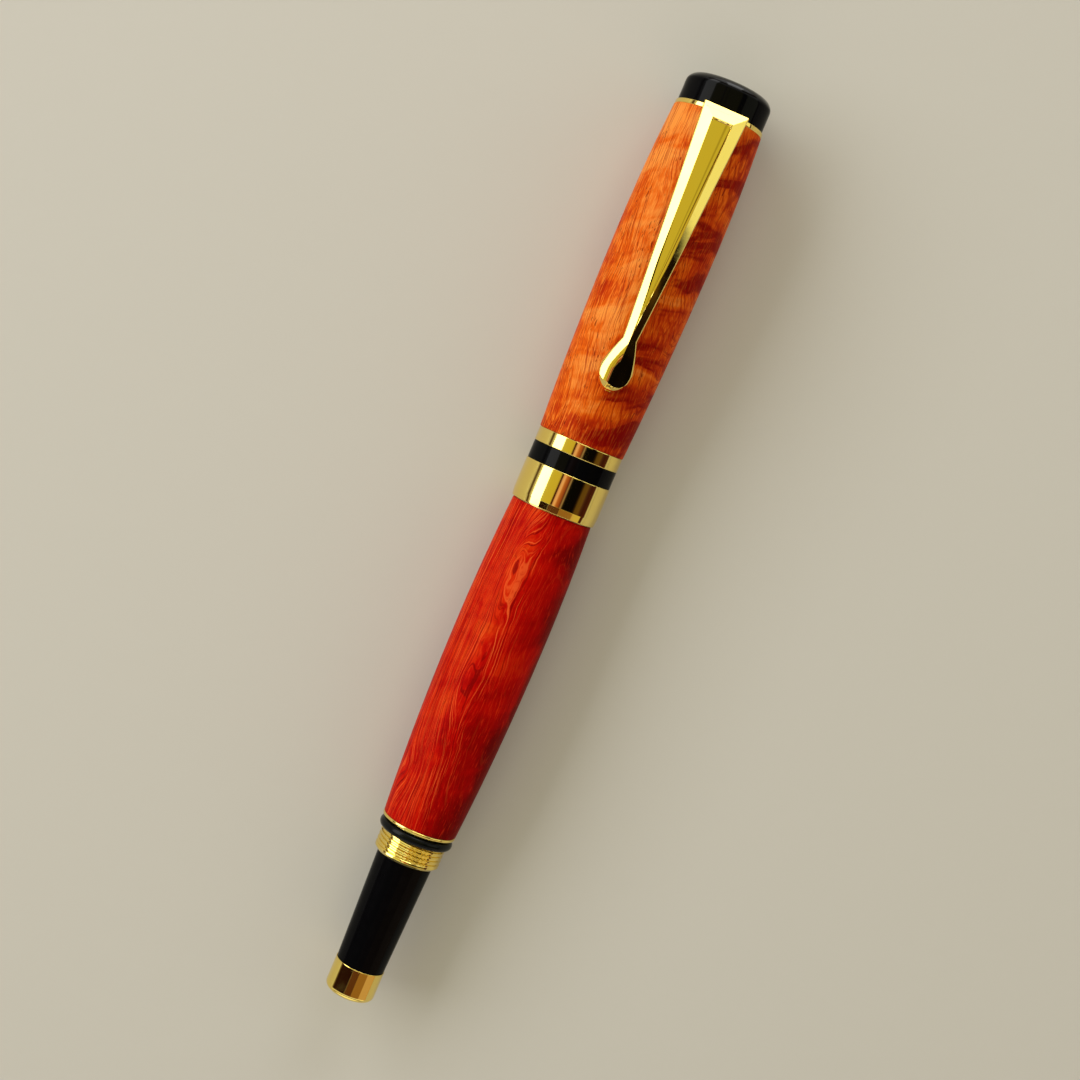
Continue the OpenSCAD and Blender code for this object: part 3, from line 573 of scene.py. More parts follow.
orangeWood = dict(
    across=(0.10, -0.85, 0.50), bend=4.0, ripple=0.5, layerWidth=0.15, window=(0, 0.97, 0.24), ragged=4.0,
    body=dict(Lean=0.95, Patch=0.60, Fibre=0.45), base=-0.51,
    colours=[(0.15, (0.20, 0.005, 0.0018)), (0.34, (0.34, 0.014, 0.0020)), (0.50, (0.52, 0.046, 0.0025)),
             (0.66, (0.70, 0.118, 0.0055)), (0.88, (0.80, 0.270, 0.0480))],
    shade=(0.21, 0.002, 0.001), darkLine=(0.30, 0.010, 0.0015), streak=(0.88, 0.25, 0.03),
    pore=(0.15, 0.006, 0.002), poreDepth=0.85, relief=dict(Pores=-0.014, Line=0.026, Fibre=0.016),
    rough=0.34)


# Orange wood of the cap: painted light makes it golden on the window side and painted shade red-brown
# on the other, with soft bands across the fibres that are painted shade on the side away from the
# window, fine slanting fibres that are painted paler on the window side, and short dark pores
def capWoodMaterial():
    material, tree, shader, place = newMaterial("cap_wood_finish")
    grain, side = grainAndSide(tree, place, orangeWood, 0.0)
    # painted light: the share towards the window, which lightens the wood to golden
    windowLitShare = remap(tree, side, -0.5, 5.0)
    colour = bodyColour(tree, grain, orangeWood, [(windowLitShare, 0.21), (forwards(tree, place, 98, 140), 0.07)])
    # painted shade: dark bands where the fibres lean from the eye, kept to the side away from the window
    shade = times(tree, remap(tree, grain["Lean"], 0.48, 0.40), remap(tree, windowLitShare, 1.0, 0.2))
    colour = tint(tree, colour, shade, 0.88, orangeWood["shade"])
    colour = tint(tree, colour, remap(tree, grain["Line"], 0.49, 0.39), 0.70, orangeWood["darkLine"])
    # fibre streaks, partly painted light: the pale streaks are much stronger on the window side
    litSideStreakShare = weighted(tree, [(windowLitShare, 0.42), (0.12, 1.0)])
    colour = tint(tree, colour, remap(tree, grain["Fibre"], 0.52, 0.66), litSideStreakShare, orangeWood["streak"])
    setWood(tree, shader, colour, grain, orangeWood)
    return material


gold = (goldMaterial(), "gold")
brass = turnedMetal("raw_brass", rawBrass)
black = (blackMaterial(), "gloss_black")
rubber = (rubberMaterial(), "rubber")
steel = (turnedMetal("steel", brightSteel), "steel")
refillGrey = plasticMaterial("refill_plastic", (0.22, 0.24, 0.27), (0.30, 0.32, 0.36), 0.30)
linerBlack = plasticMaterial("liner_plastic", (0.018, 0.018, 0.020), (0.035, 0.035, 0.038), 0.38)
inkBlue = plasticMaterial("ink_fibre", (0.010, 0.014, 0.08), (0.03, 0.04, 0.16), 0.75)
barrelWood = (barrelWoodMaterial(), "barrel_wood")
capWood = (capWoodMaterial(), "cap_wood")
print("materials made")


endCap = dict(edge=0.9, steps=9, rim=0.06, stud=3.2)


# The end cap: a flat face, a rounded edge, a plain side up to the sleeve, and its stud
def buildEndCap():
    start, end, radius = nodeSpan("end_cap")
    side = nodeSpan("posting_sleeve")[0] - gap
    corners = [(start, 0), (start, radius), (side, radius), (side, endCap["stud"]),
               (end, endCap["stud"]), (end, 0)]
    outline = rounded(corners, {1: endCap["edge"], 2: endCap["rim"]}, endCap["steps"])
    turnedPiece("end_cap_metal", outline, "barrel", "end_cap", gold)


sleeve = dict(rearRadius=3.8, frontRadius=4.4, spigot=3.6, spigotRadius=3.85, bore=3.3, edge=0.08)


# The sleeve: a straight taper with softened ends, a spigot and a plain bore
def buildSleeve():
    start, end, _ = nodeSpan("posting_sleeve")
    shoulder = end - sleeve["spigot"]
    corners = [(start, sleeve["bore"]), (start, sleeve["rearRadius"]), (shoulder, sleeve["frontRadius"]),
               (shoulder, sleeve["spigotRadius"]), (end, sleeve["spigotRadius"]), (end, sleeve["bore"])]
    outline = rounded(corners, {1: sleeve["edge"], 2: sleeve["edge"]})
    turnedPiece("posting_sleeve_black", outline, "barrel", "posting_sleeve", black)


coupler = dict(bore=3.32, grooveRadius=4.3, ringWidth=1.56, shoulder=0.2, shoulderRadius=5.2,
               tubeRadius=4.47, runOut=0.2)


# The rear coupler: a chamfered land, ridges that run out at the rubber ring, then the ring's groove
def buildRearCoupler():
    start, end, _ = nodeSpan("rear_coupler")
    radius = capThread["radius"]
    groove = start + capThread["length"]
    shoulder = groove + coupler["ringWidth"]
    wood = shoulder + coupler["shoulder"]
    ridgeStart = start + capThread["land"]
    outline = [(start, coupler["bore"]), (start, radius - capThread["lead"]),
               (start + capThread["lead"], radius)]
    outline += straight(ridgeStart, groove - hair, radius, capThread["step"])
    outline += [(groove, radius), (groove, coupler["grooveRadius"]), (shoulder, coupler["grooveRadius"]),
                (shoulder, coupler["shoulderRadius"]), (wood, coupler["shoulderRadius"]),
                (wood, coupler["tubeRadius"]), (end, coupler["tubeRadius"]), (end, coupler["bore"])]
    shape = threadShape(ridgeStart, groove + coupler["runOut"], radius)
    turnedPiece("rear_thread", outline, "barrel", "rear_coupler", gold, shape, threadAround)


rubberRing = dict(steps=36)


# The rubber ring: a torus seated in its groove
def buildRubberRing():
    start, end, radius = nodeSpan("rear_o_ring")
    wire = (end - start) / 2
    turn = np.linspace(0, 2 * np.pi, rubberRing["steps"], endpoint=False)
    along = (start + end) / 2 - wire * np.cos(turn)
    outline = np.stack([along, radius - wire + wire * np.sin(turn)], axis=-1)
    turnedPiece("rubber_ring", outline, "barrel", "rear_o_ring", rubber)


# A plain ring with softened outer edges
def buildRing(name, node, body, finish, inner, rearEdge, frontEdge):
    start, end, radius = nodeSpan(node)
    corners = [(start, inner), (start, radius), (end, radius), (end, inner)]
    turnedPiece(name, rounded(corners, {1: rearEdge, 2: frontEdge}), body, node, finish)


barrelShape = dict(node="barrel_wood", rear=5.825, belly=6.875, front=6.25, bellyAt=30.3, tube=5.0,
                   edge=0.07)
capShape = dict(node="cap_wood", rear=6.65, belly=7.52, front=6.875, bellyAt=33.0, tube=6.0, edge=0.07)
for shape in (barrelShape, capShape):
    shape["start"], shape["end"], _ = nodeSpan(shape["node"])
    shape["length"] = shape["end"] - shape["start"]


# Radius of a wooden sleeve: the belly less a parabola that reaches the end's radius at each end
def woodRadius(shape, u):
    at = shape["bellyAt"]
    u = np.clip(u, 0, shape["length"])
    rear = (shape["belly"] - shape["rear"]) * ((at - u) / at) ** 2
    front = (shape["belly"] - shape["front"]) * ((u - at) / (shape["length"] - at)) ** 2
    return shape["belly"] - np.where(u < at, rear, front)


# A turned sleeve of wood with broken edges at both ends
def buildWood(name, body, shape, finish):
    edge = shape["edge"]
    u = np.concatenate([[0], np.linspace(edge, shape["length"] - edge, woodAlong), [shape["length"]]])
    radius = woodRadius(shape, u)
    radius[[0, -1]] -= edge
    outline = [(shape["start"], shape["tube"])] + list(zip(shape["start"] + u, radius))
    outline.append((shape["end"], shape["tube"]))
    turnedPiece(name, outline, body, shape["node"], finish, columns=woodAround)


band = dict(slope=1.1, slopeFall=0.15, edge=0.08, bend=0.5, rim=0.12, spigot=5.47, bore=4.97, mouth=6.05,
            mouthDepth=0.6, threadRadius=5.46, threadPast=0.3, threadStep=0.04)


# The wide band: its first stretch slopes gently to the mouth, and the thread runs inside
def buildCenterBand():
    start, end, radius = nodeSpan("center_band")
    outer = nodeSpan("accent_ring")[0]
    threadEnd = nodeSpan("thread_collar")[1] + band["threadPast"]
    throat = start + band["mouthDepth"]
    corners = [(start, band["mouth"]), (start, radius - band["slopeFall"]), (start + band["slope"], radius),
               (outer, radius), (outer, band["spigot"]), (end, band["spigot"]), (end, band["bore"]),
               (threadEnd, band["bore"])]
    outline = rounded(corners, {1: band["edge"], 2: band["bend"], 3: band["rim"]})
    outline += straight(threadEnd - hair, throat, band["threadRadius"], band["threadStep"])
    outline += [(throat - hair / 2, band["mouth"])]
    shape = threadShape(throat, threadEnd, band["threadRadius"])
    turnedPiece("center_band_metal", outline, "cap", "center_band", gold, shape, threadAround)


collar = dict(stud=3.9, studLead=0.3, bore=3.3, seat=4.33, seatDepth=3.15, runOut=0.2)


# The section's collar: a stud with a lead, then the ridges that take the cap
def buildCollar():
    start, end, radius = nodeSpan("thread_collar")
    face = nodeSpan("front_coupler")[1] + gap
    outline = [(start, collar["bore"]), (start, collar["stud"] - collar["studLead"]),
               (start + collar["studLead"], collar["stud"]), (face, collar["stud"]), (face, radius)]
    ridgeEnd = end - capThread["land"] + collar["runOut"]
    outline += straight(face + 2 * hair, ridgeEnd, radius, capThread["step"])
    outline += [(end - capThread["lead"], radius), (end, radius - capThread["lead"]), (end, collar["seat"]),
                (end - collar["seatDepth"], collar["seat"]), (end - collar["seatDepth"], collar["bore"])]
    shape = threadShape(face, ridgeEnd, radius)
    turnedPiece("collar_thread", outline, "section", "thread_collar", gold, shape, threadAround)


# Outline of a piece that starts with a spigot: bore, spigot, and radii over shares of the rest
def spigotOutline(piece, start, end, share, radius):
    rear = start + piece["spigot"] + piece["join"]
    outline = [(start, piece["bore"]), (start, piece["spigotRadius"]), (rear, piece["spigotRadius"])]
    return outline + list(zip(rear + (end - rear) * share, radius))


grip = dict(rear=4.6, waist=4.05, front=4.25, waistShare=0.62, fall=1.6, spigot=3.1, spigotRadius=4.3,
            bore=3.3, seat=3.63, seatDepth=4.05, join=0.05, steps=60)


# The grip: its radius falls by a power to the waist and rises by the square to the front
def buildGrip():
    start, end, _ = nodeSpan("grip")
    u = np.linspace(0, 1, grip["steps"] + 1)
    w = grip["waistShare"]
    radius = np.where(u < w, (grip["rear"] - grip["waist"]) * np.clip(1 - u / w, 0, 1) ** grip["fall"],
                      (grip["front"] - grip["waist"]) * ((u - w) / (1 - w)) ** 2) + grip["waist"]
    outline = spigotOutline(grip, start, end, u, radius)
    outline += [(end, grip["seat"]), (end - grip["seatDepth"], grip["seat"]),
                (end - grip["seatDepth"], grip["bore"])]
    turnedPiece("grip_black", outline, "section", "grip", black)


nose = dict(rear=4.25, tip=1.75, spigot=4.0, spigotRadius=3.6, fall=1.25, bore=3.3, neck=2.05,
            mouth=1.3, stepBack=11.0, neckPast=2.6, mouthPast=5.45, join=0.05, steps=40)


# The nose cone: its radius falls from the grip to the tip by a power; inside, the step that the
# refill's shoulder meets, a given way back from the writing point, then the neck and the mouth
def buildNose():
    start, end, _ = nodeSpan("nose_cone")
    u = np.linspace(0, 1, nose["steps"] + 1)
    radius = nose["rear"] - (nose["rear"] - nose["tip"]) * u ** nose["fall"]
    outline = spigotOutline(nose, start, end, u, radius)
    step = nodeSpan("refill_point")[1] - nose["stepBack"]
    mouth = step + nose["mouthPast"]
    outline += [(end, nose["mouth"]), (mouth, nose["mouth"]), (mouth, nose["neck"]),
                (step + nose["neckPast"], nose["neck"]), (step, nose["bore"])]
    turnedPiece("nose_cone_metal", outline, "section", "nose_cone", gold)


clip = dict(length=43.2, topWidth=6.85, neckWidth=2.1, dropWidth=4.95, dropAt=3.0, neckAt=7.9,
            dropCurve=1.35, barThick=1.65, dropThick=1.95, rootThick=2.3, gap=0.95, padGap=0.3,
            gapRun=7.0, dropTilt=18, dropSteep=30, frontTilt=50, foot=0.6, neckTilt=20, neckSteep=26,
            rootTilt=28, trough=0.47, opening=14, step=0.12, lip=0.06, bowl=0.14, troughRun=12, wall=0.35,
            end=1.9, corner=0.7, dropEdge=0.24, barEdge=0.13, ridgeSide=0.7, ridgeRound=0.5,
            ridgeFade=0.85, edgeShare=0.45, edgeLift=0.12, inset=0.002, armPast=0.03, rootPast=0.04,
            crisp=14, dropPoints=34, barPoints=130, endPoints=21, endRun=0.8, rimPoints=10, floorPoints=13)
clipStart = nodeSpan("clip_ring")[1] - clip["length"]
clipSlit = nodeSpan("clip_arm")[1] - clipStart  # where the arm ends and the root on its ring begins
troughStop = clip["length"] - clip["end"]


# Share of the way from the drop to the neck, eased
def towardsNeck(t):
    return smooth((t - clip["dropAt"]) / (clip["neckAt"] - clip["dropAt"]))


# Half the clip's width: a quarter of an ellipse, then a fall by a power to the neck, then a
# straight widening to the root
def clipHalf(t):
    neck = clip["neckWidth"] / 2
    drop = clip["dropWidth"] / 2
    rise = drop * np.sqrt(np.clip(1 - (1 - t / clip["dropAt"]) ** 2, 0, 1))
    fall = np.clip((t - clip["dropAt"]) / (clip["neckAt"] - clip["dropAt"]), 0, 1) ** clip["dropCurve"]
    bar = np.clip((t - clip["neckAt"]) / (clip["length"] - clip["neckAt"]), 0, 1)
    bar = neck + (clip["topWidth"] / 2 - neck) * bar
    fall = np.where(t < clip["neckAt"], neck + (drop - neck) * (1 - fall), bar)
    return np.where(t < clip["dropAt"], rise, fall)


# Height over the axis of a line that leaves the pad and runs on over the wood
def clipLine(t):
    wood = woodRadius(capShape, clipStart + t - capShape["start"])
    opening = smooth((t - clip["dropAt"]) / clip["gapRun"])
    return wood + clip["padGap"] + (clip["gap"] - clip["padGap"]) * opening


# Height of the underside: the line, less the gap where the clip thickens before the root
def clipUnder(t):
    closing = smooth((t - clip["length"] + clip["gapRun"]) / (clip["gapRun"] - 1))
    return clipLine(t) - (clip["gap"] - clip["padGap"]) * closing


# Height of the middle of the top: the line and the thickness over it
def clipCrown(t):
    thick = clip["dropThick"] + (clip["barThick"] - clip["dropThick"]) * towardsNeck(t)
    half = clip["length"] / 2
    rootThick = clip["rootThick"] - clip["gap"] + clip["padGap"]
    return clipLine(t) + thick + (rootThick - clip["barThick"]) * smooth((t - half) / half)


# Half the trough's width: it opens from nothing at the neck to its share of the clip
def troughHalf(t):
    return clip["trough"] * clipHalf(t) * smooth((t - clip["neckAt"] + 1) / clip["opening"]) + hair


# Width of the bevel round the outline: wide on the drop, narrow on the bar
def edgeWidth(t):
    wide = clip["dropEdge"] + (clip["barEdge"] - clip["dropEdge"]) * towardsNeck(t)
    return np.minimum(wide, clip["edgeShare"] * clipHalf(t))


# Distance in from the outline: on the drop the shortfall of the ellipse's measure over its
# gradient, on the bar plainly across
def edgeDistance(t, y):
    a = (clip["dropAt"] - t) / clip["dropAt"]
    b = 2 * y / clip["dropWidth"]
    measure = np.sqrt(a * a + b * b) + 1e-9
    slope = np.hypot(a / clip["dropAt"], 2 * b / clip["dropWidth"]) / measure + 1e-9
    return np.where(t < clip["dropAt"], (1 - measure) / slope, clipHalf(t) - np.abs(y))


# Height of the top: over the drop a low roof, steeper on its narrow side, with a rounded ridge and a
# bevelled front; then rims that fall outwards by their tilt beside a stepped and hollowed trough
# with rounded corners; all of it cut by a slope down to the ring end and by the outline's bevel
def clipTop(t, y):
    crown = clipCrown(t)
    inner = troughHalf(t)
    share = towardsNeck(t)
    turning = smooth((t - clip["neckAt"]) / (clip["length"] / 2))
    neck = np.where(y > 0, clip["neckSteep"], clip["neckTilt"])
    tilt = np.radians(neck + (clip["rootTilt"] - neck) * turning)
    rim = crown - np.tan(tilt) * np.maximum(0, np.abs(y) - inner)
    ahead = troughStop - t
    aside = inner - np.abs(y)
    corner = clip["corner"]
    inCorner = (ahead < corner) & (aside < corner)
    inside = np.where(inCorner, corner - np.hypot(corner - ahead, corner - aside), np.minimum(ahead, aside))
    bowl = clip["bowl"] * np.clip(1 - (y / inner) ** 2, 0, 1) * smooth(ahead / clip["wall"])
    deep = smooth((t - clip["neckAt"]) / clip["troughRun"])
    bar = rim - deep * (clip["step"] * smooth(inside / clip["lip"]) + np.where(inside > 0, bowl, 0))
    side = clip["ridgeSide"] * (1 - clip["ridgeFade"] * share)
    bend = clip["ridgeRound"] * (1 - clip["ridgeFade"] * share)
    slope = np.tan(np.radians(np.where(y > side, clip["dropSteep"], clip["dropTilt"])))
    fall = slope * (np.hypot(y - side, bend) - bend)
    outline = clip["dropAt"] * (1 - np.sqrt(np.clip(1 - (2 * y / clip["dropWidth"]) ** 2, 0, 1)))
    front = np.tan(np.radians(clip["frontTilt"])) * (t - outline)
    roof = np.minimum(crown - fall, crown - clip["dropThick"] * clip["foot"] + front)
    top = roof * (1 - share) + bar * share
    top = np.minimum(top, crown - np.tan(np.radians(clip["rootTilt"])) * np.maximum(0, -ahead))
    return top - np.maximum(0, edgeWidth(t) - edgeDistance(t, y)) - clip["inset"]


# Places across the top at each station: outline, bevel, rim, the trough's edge and its floor
def clipAcross(t):
    half = clipHalf(t)
    bevel = edgeWidth(t)
    ahead = np.clip(1 - ((clip["dropAt"] - t) / (clip["dropAt"] - bevel)) ** 2, 0, 1)
    edge = np.where(t < clip["dropAt"], (clip["dropWidth"] / 2 - bevel) * np.sqrt(ahead), half - bevel)
    edge = np.clip(edge, 0.3 * half, 0.97 * half)
    inner = np.clip(troughHalf(t), 0.12 * half, 0.8 * edge)
    rim = inner + (edge - inner) * np.linspace(1, 0, clip["rimPoints"])[None, :]
    floor = inner - np.minimum(clip["lip"], 0.1 * inner)
    floor = floor * np.linspace(1, 0, clip["floorPoints"])[None, :]
    side = np.concatenate([half, (half + edge) / 2, rim, floor[:, :-1]], axis=1)
    return np.concatenate([-side, 0 * half, side[:, ::-1]], axis=1)


# Stations near the root at which the mitre between rim and end slope crosses the rims' points
def mitreStations():
    t = np.array([[troughStop]])
    inner = troughHalf(t)
    width = clipHalf(t) - edgeWidth(t) - inner
    count = clip["rimPoints"]
    return troughStop + float(width[0, 0]) * np.arange(count) / (count - 1)


# A solid over rings of points: the top across from side to side, then the given underside back
def clipMesh(stations, underside):
    t = np.asarray(stations, float)[:, None]
    y = clipAcross(t)
    back, height = underside(t)
    z = np.concatenate([clipTop(t, y), height], axis=1) + axisZ
    y = np.concatenate([y, back], axis=1)
    verts = gridPoints(clipStart + t, y, z)
    count, columns = y.shape
    i, j = np.meshgrid(np.arange(count - 1), np.arange(columns), indexing="ij")
    here = i * columns + j
    beside = i * columns + (j + 1) % columns
    rising = (j >= (clipAcross(t).shape[1] - 1) // 2)[..., None]
    first = np.where(rising, np.stack([here, here + columns, beside + columns], axis=-1),
                     np.stack([here, here + columns, beside], axis=-1))
    second = np.where(rising, np.stack([here, beside + columns, beside], axis=-1),
                      np.stack([here + columns, beside + columns, beside], axis=-1))
    faces = first.reshape(-1, 3).tolist() + second.reshape(-1, 3).tolist()
    faces.append(list(range(columns)))
    faces.append(list(range(count * columns - 1, (count - 1) * columns - 1, -1)))
    return verts, faces


# The arm's underside: flat, with both edges lifted by a part of the thickness
def armUnderside(t):
    share = np.array([[1, 0.9, 0.8, 0.4, 0, -0.4, -0.8, -0.9, -1]])
    under = clipUnder(t)
    lift = (clipCrown(t) - under) * clip["edgeLift"] * np.clip((np.abs(share) - 0.8) / 0.2, 0, 1)
    return share * clipHalf(t), under + lift


# The springing arm, from its drop to the slit beside the ring
def buildClipArm():
    end = clipSlit + clip["armPast"]
    first = clip["dropAt"] * (1 - np.cos(np.linspace(0.03, 1, clip["dropPoints"]) * np.pi / 2))
    middle = np.linspace(clip["dropAt"], troughStop - clip["endRun"], clip["barPoints"])[1:]
    last = np.linspace(troughStop - clip["endRun"], troughStop, clip["endPoints"])[1:-1]
    mitre = mitreStations()
    stations = np.concatenate([first, middle, last, mitre[mitre < end - hair], [end]])
    verts, faces = clipMesh(stations, armUnderside)
    meshPiece("clip_arm_metal", verts, faces, "clip", "clip_arm", gold, clip["crisp"])


clipRing = dict(inner=2.55, edge=0.12, rootUnder=5.675)


# The root's underside: flat, inside the ring's metal
def rootUnderside(t):
    share = np.array([[1, 0, -1]])
    return share * clipHalf(t), clipRing["rootUnder"] + 0 * t * share


# The ring that the finial clamps, with the root on it that carries on the arm's slope
def buildClipRing():
    start, end, _ = nodeSpan("clip_ring")
    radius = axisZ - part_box("clip_ring")[0][2] / mm  # the lowest point, because the root stands above
    corners = [(start, clipRing["inner"]), (start, radius), (end, radius), (end, clipRing["inner"])]
    verts, faces = turnedMesh(rounded(corners, {1: clipRing["edge"], 2: clipRing["edge"]}))
    mitre = mitreStations()
    root = clipSlit + clip["rootPast"]
    mitre = mitre[(mitre > root + hair) & (mitre < clip["length"])]
    stations = np.concatenate([[root], mitre, [clip["length"]]])
    more, moreFaces = clipMesh(stations, rootUnderside)
    faces = faces + [[i + len(verts) for i in face] for face in moreFaces]
    meshPiece("clip_ring_metal", np.vstack([verts, more]), faces, "cap", "clip_ring", gold, clip["crisp"])


finial = dict(edge=1.5, steps=10, foot=0.12, bore=2.55, depth=2.85)


# The finial: a plain side, a rounded top edge and a flat top, with a bore for its stud
def buildFinial():
    start, end, radius = nodeSpan("finial")
    corners = [(start, finial["bore"]), (start, radius), (end, radius), (end, 0)]
    outline = rounded(corners, {1: finial["foot"], 2: finial["edge"]}, finial["steps"])
    outline = [(start + finial["depth"], 0), (start + finial["depth"], finial["bore"])] + outline
    turnedPiece("finial_black", outline, "cap", "finial", black)


spring = dict(outer=2.4, wire=0.25, turns=7, start=1.6, length=8.9, level=0.8, gap=0.05, smoothing=0.1,
              stepsPerTurn=40, spokes=12)


# The refill spring: a wire swept round a helix that is level over its end turns; it shortens as
# the refill is pressed
def buildSpring():
    turns = spring["turns"]
    wire = spring["wire"]
    steps = turns * spring["stepsPerTurn"]
    share = np.arange(steps + 1) / steps
    level = spring["level"] / turns
    even = np.clip((share - level) / (1 - 2 * level), 0, 1)
    climb = even * (1 - spring["smoothing"]) + smooth(even) * spring["smoothing"]
    rise = spring["length"] - 2 * wire - 2 * spring["gap"]
    along = tailX + spring["start"] + wire + spring["gap"] + rise * climb
    turn = 2 * np.pi * turns * share
    spokes = spring["spokes"]
    spoke = np.linspace(0, 2 * np.pi, spokes, endpoint=False)
    radius = spring["outer"] - wire + wire * np.cos(spoke)[None, :]
    x = along[:, None] + wire * np.sin(spoke)[None, :]
    turn = turn[:, None]
    verts = gridPoints(x, radius * np.sin(turn), radius * np.cos(turn) + axisZ)
    faces = gridFaces(steps + 1, spokes, False)
    faces.append(list(range(spokes - 1, -1, -1)))
    faces.append(list(range(steps * spokes, (steps + 1) * spokes)))
    piece = meshPiece("spring_coil", verts, faces, "spring", "refill_spring", steel)
    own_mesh(piece)


buildEndCap()
buildSleeve()
buildRearCoupler()
buildRubberRing()
buildRing("rear_trim", "rear_trim_ring", "barrel", gold, inner=4.5, rearEdge=0.24, frontEdge=0.26)
buildWood("barrel_sleeve", "barrel", barrelShape, barrelWood)
buildCenterBand()
buildRing("accent_black", "accent_ring", "cap", black, inner=5.5, rearEdge=0.08, frontEdge=0.08)
buildRing("upper_band_metal", "upper_band", "cap", gold, inner=5.5, rearEdge=0.14, frontEdge=0.14)
buildWood("cap_sleeve", "cap", capShape, capWood)
buildClipArm()
buildClipRing()
buildFinial()
buildSpring()
buildCollar()
buildGrip()
buildNose()
print("pieces built")

# Nodes that stay as they are and only take a finish
finishes = [
    (brass, ["barrel_tube", "front_coupler", "cap_tube", "cap_bushing", "finial_stud"]),
    (black[0], ["refill_tail_plug", "refill_front"]),
    (steel[0], ["refill_point", "writing_ball"]),
    (refillGrey, ["refill_tube"]),
    (linerBlack, ["cap_liner"]),
    (inkBlue, ["ink_filler", "feed_wick"])]
for material, nodes in finishes:
    for node in nodes:
        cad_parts[node].data.materials.clear()
        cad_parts[node].data.materials.append(material)
print("nodes dressed")

stage = dict(half=6.0, tone=(0.58, 0.57, 0.55))


# A plain pale floor at the height that the pen lies on
def buildFloor():
    half = stage["half"]
    mesh = bpy.data.meshes.new("floor")
    corners = [(-half, -half, 0), (half, -half, 0), (half, half, 0), (-half, half, 0)]
    mesh.from_pydata(corners, [], [(0, 1, 2, 3)])
    floor = addObject("floor", mesh)
    material = bpy.data.materials.new("floor_paper")
    material.use_nodes = True
    shader = material.node_tree.nodes["Principled BSDF"]
    setInputs(material.node_tree, shader, {"Base Color": (*stage["tone"], 1), "Roughness": 0.9,
                                           "Specular IOR Level": 0.1})
    mesh.materials.append(material)
    floor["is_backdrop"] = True


lamps = {
    "window": dict(place=(0.39, 0.827, 0.524), towards=0.39, size=(1.52, 0.486), power=8.7,
                   colour=(1.0, 0.99, 0.97)),
    "door": dict(place=(0.91, -0.05, 0.43), towards=0, size=(0.5, 0.5), power=2.0,
                 colour=(1.0, 0.99, 0.98))}


# A soft rectangular light that looks at a point on the pen's axis
def areaLight(name, lamp):
    data = bpy.data.lights.new(name, "AREA")
    data.shape = "RECTANGLE"
    data.size, data.size_y = lamp["size"]
    data.energy = lamp["power"]
    data.color = lamp["colour"]
    light = addObject(name, data)
    light.location = lamp["place"]
    way = Vector((lamp["towards"], 0, axisZ * mm)) - light.location
    light.rotation_euler = way.to_track_quat("-Z", "Y").to_euler()


# Colours by the angle about the pen's axis, from the zenith towards the window side
roomStops = [
    (-88, (0.56, 0.54, 0.50)), (-86, (0.56, 0.54, 0.50)), (-83.5, (0.07, 0.018, 0.012)),
    (-72, (0.042, 0.010, 0.008)), (-66, (0.06, 0.02, 0.018)), (-60, (0.13, 0.07, 0.022)),
    (-50, (0.11, 0.062, 0.016)), (-46, (0.020, 0.010, 0.006)), (-42, (0.003, 0.002, 0.003)),
    (-17, (0.003, 0.003, 0.003)), (-14, (0.030, 0.020, 0.020)), (-12, (0.34, 0.24, 0.20)),
    (-10, (0.30, 0.20, 0.16)), (-8, (0.08, 0.02, 0.02)), (-5, (0.30, 0.07, 0.03)), (2, (0.50, 0.16, 0.06)),
    (6, (0.85, 0.48, 0.40)), (10.5, (0.75, 0.42, 0.34)), (12.5, (0.06, 0.012, 0.01)),
    (15.5, (0.08, 0.02, 0.012)), (18, (0.60, 0.50, 0.10)), (38, (0.62, 0.54, 0.10)),
    (44, (0.62, 0.60, 0.30)), (72, (0.64, 0.66, 0.66)), (77, (0.58, 0.55, 0.48)), (80, (0.10, 0.06, 0.03)),
    (85, (0.10, 0.06, 0.03)), (87, (0.56, 0.54, 0.50))]
allRound = (-180, 180)
# Patches over them: the span of angles, the stretch of the direction along the pen over which a patch
# comes in, and its colour
roomPatches = [
    ((-30, 14), (0.005, 0.05), (0.60, 0.53, 0.10)),  # what the clip mirrors
    ((4, 8), (0.02, 0.06), (0.42, 0.36, 0.06)),
    ((-64, -43), (-0.015, 0.0), (0.010, 0.006, 0.004)),
    ((-64, -43), (-0.075, -0.10), (0.010, 0.006, 0.004)),
    ((-80, -43), (0.07, 0.11), (0.98, 1.0, 0.70)),
    ((-75, 2), (-0.215, -0.235), (0.62, 0.50, 0.17)),  # what the rear thread mirrors
    ((2, 48), (-0.215, -0.235), (1.0, 1.06, 0.85)),
    ((20, 80), (-0.29, -0.305), (0.020, 0.006, 0.005)),  # what the end cap mirrors
    ((-12, 20), (-0.29, -0.305), (0.11, 0.04, 0.02)),
    ((-50, -12), (-0.29, -0.305), (0.30, 0.15, 0.05)),
    ((-95, -50), (-0.29, -0.305), (0.57, 0.37, 0.22)),
    (allRound, (0.42, 0.60), (1.20, 1.18, 1.12)),  # bright and dark walls ahead and behind
    (allRound, (0.64, 0.68), (0.16, 0.10, 0.05)),
    (allRound, (0.80, 0.84), (1.20, 1.18, 1.12)),
    (allRound, (-0.45, -0.60), (1.15, 1.13, 1.08)),
    (allRound, (-0.64, -0.68), (0.16, 0.10, 0.05)),
    (allRound, (-0.80, -0.84), (1.15, 1.13, 1.08))]


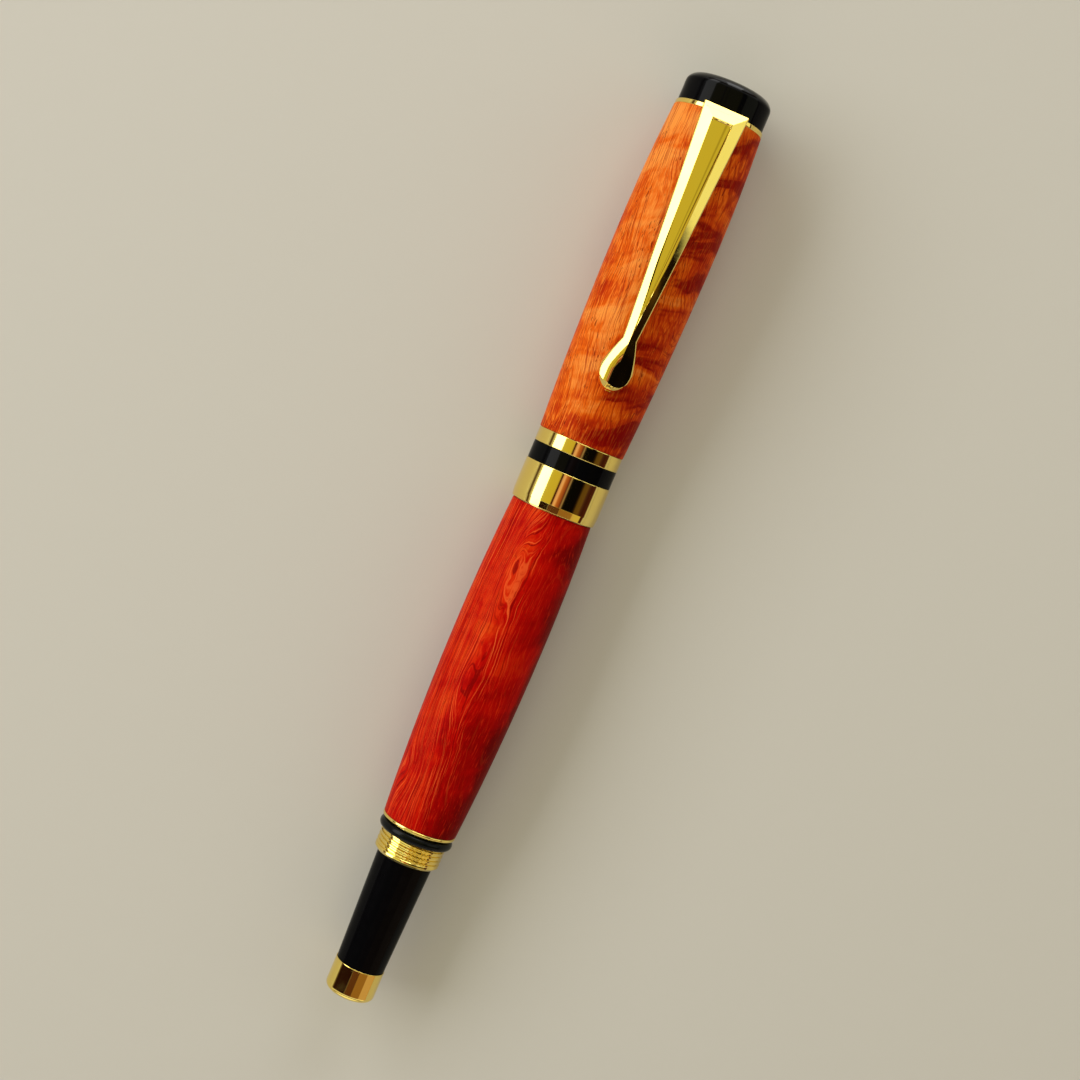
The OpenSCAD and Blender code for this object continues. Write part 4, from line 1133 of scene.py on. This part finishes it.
# The room that the pen mirrors: the colours by angle, then each patch where both its spans hold
def buildWorld():
    world = bpy.data.worlds.new("room")
    bpy.context.scene.world = world
    world.use_nodes = True
    tree = world.node_tree
    direction = addNode(tree, "ShaderNodeTexCoord").outputs["Generated"]
    axes = addNode(tree, "ShaderNodeSeparateXYZ", {"Vector": direction}).outputs
    degrees = times(tree, sums(tree, "ARCTAN2", axes[1], axes[2]), 180 / math.pi)
    turn = weighted(tree, [(degrees, 1 / 360), (0.5, 1.0)])
    colour = colourRamp(tree, turn, [(angle / 360 + 0.5, tone) for angle, tone in roomStops])
    for (first, last), along, tone in roomPatches:
        inside = times(tree, remap(tree, degrees, first - 1, first + 1),
                       remap(tree, degrees, last + 1, last - 1))
        colour = tint(tree, colour, inside, remap(tree, axes[0], *along), tone)
    setInputs(tree, tree.nodes["Background"], {"Color": colour, "Strength": 1.0})


camera = dict(focal=1765, pixels=1080, sensor=36.0, distance=263.0, foot=97.06, lookAt=75.4, side=4.0,
              turn=67.02)


# The camera stands over the foot point, leaning to the window side, and looks at the axis farther
# back; its frame is turned so that the pen's axis points at the given angle from the picture's right
def buildCamera():
    lean = math.radians(camera["side"])
    foot = tailX + camera["foot"]
    height = axisZ + camera["distance"] * math.cos(lean)
    place = Vector((foot, camera["distance"] * math.sin(lean), height))
    target = Vector((tailX + camera["lookAt"], 0, axisZ))
    forward = (target - place).normalized()
    alongPen = Vector((1, 0, 0))
    alongPen = (alongPen - forward * alongPen.dot(forward)).normalized()
    acrossPen = (-forward).cross(alongPen)
    turn = math.radians(camera["turn"])
    right = alongPen * math.cos(turn) - acrossPen * math.sin(turn)
    up = alongPen * math.sin(turn) + acrossPen * math.cos(turn)
    data = bpy.data.cameras.new("camera")
    data.sensor_width = camera["sensor"]
    data.lens = camera["sensor"] * camera["focal"] / camera["pixels"]
    data.clip_start = 0.01
    matrix = Matrix((right, up, -forward)).transposed().to_4x4()
    matrix.translation = place * mm
    body = addObject("camera", data)
    body.matrix_world = matrix
    bpy.context.scene.camera = body


buildFloor()
buildWorld()
for name, lamp in lamps.items():
    areaLight(name, lamp)
buildCamera()
bpy.context.scene.view_settings.view_transform = "Standard"
print("stage set")

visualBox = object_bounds()
boxes = {"cad": cadBox, "visual": visualBox}
boxes = {name: [[float(v) for v in p] for p in box] for name, box in boxes.items()}
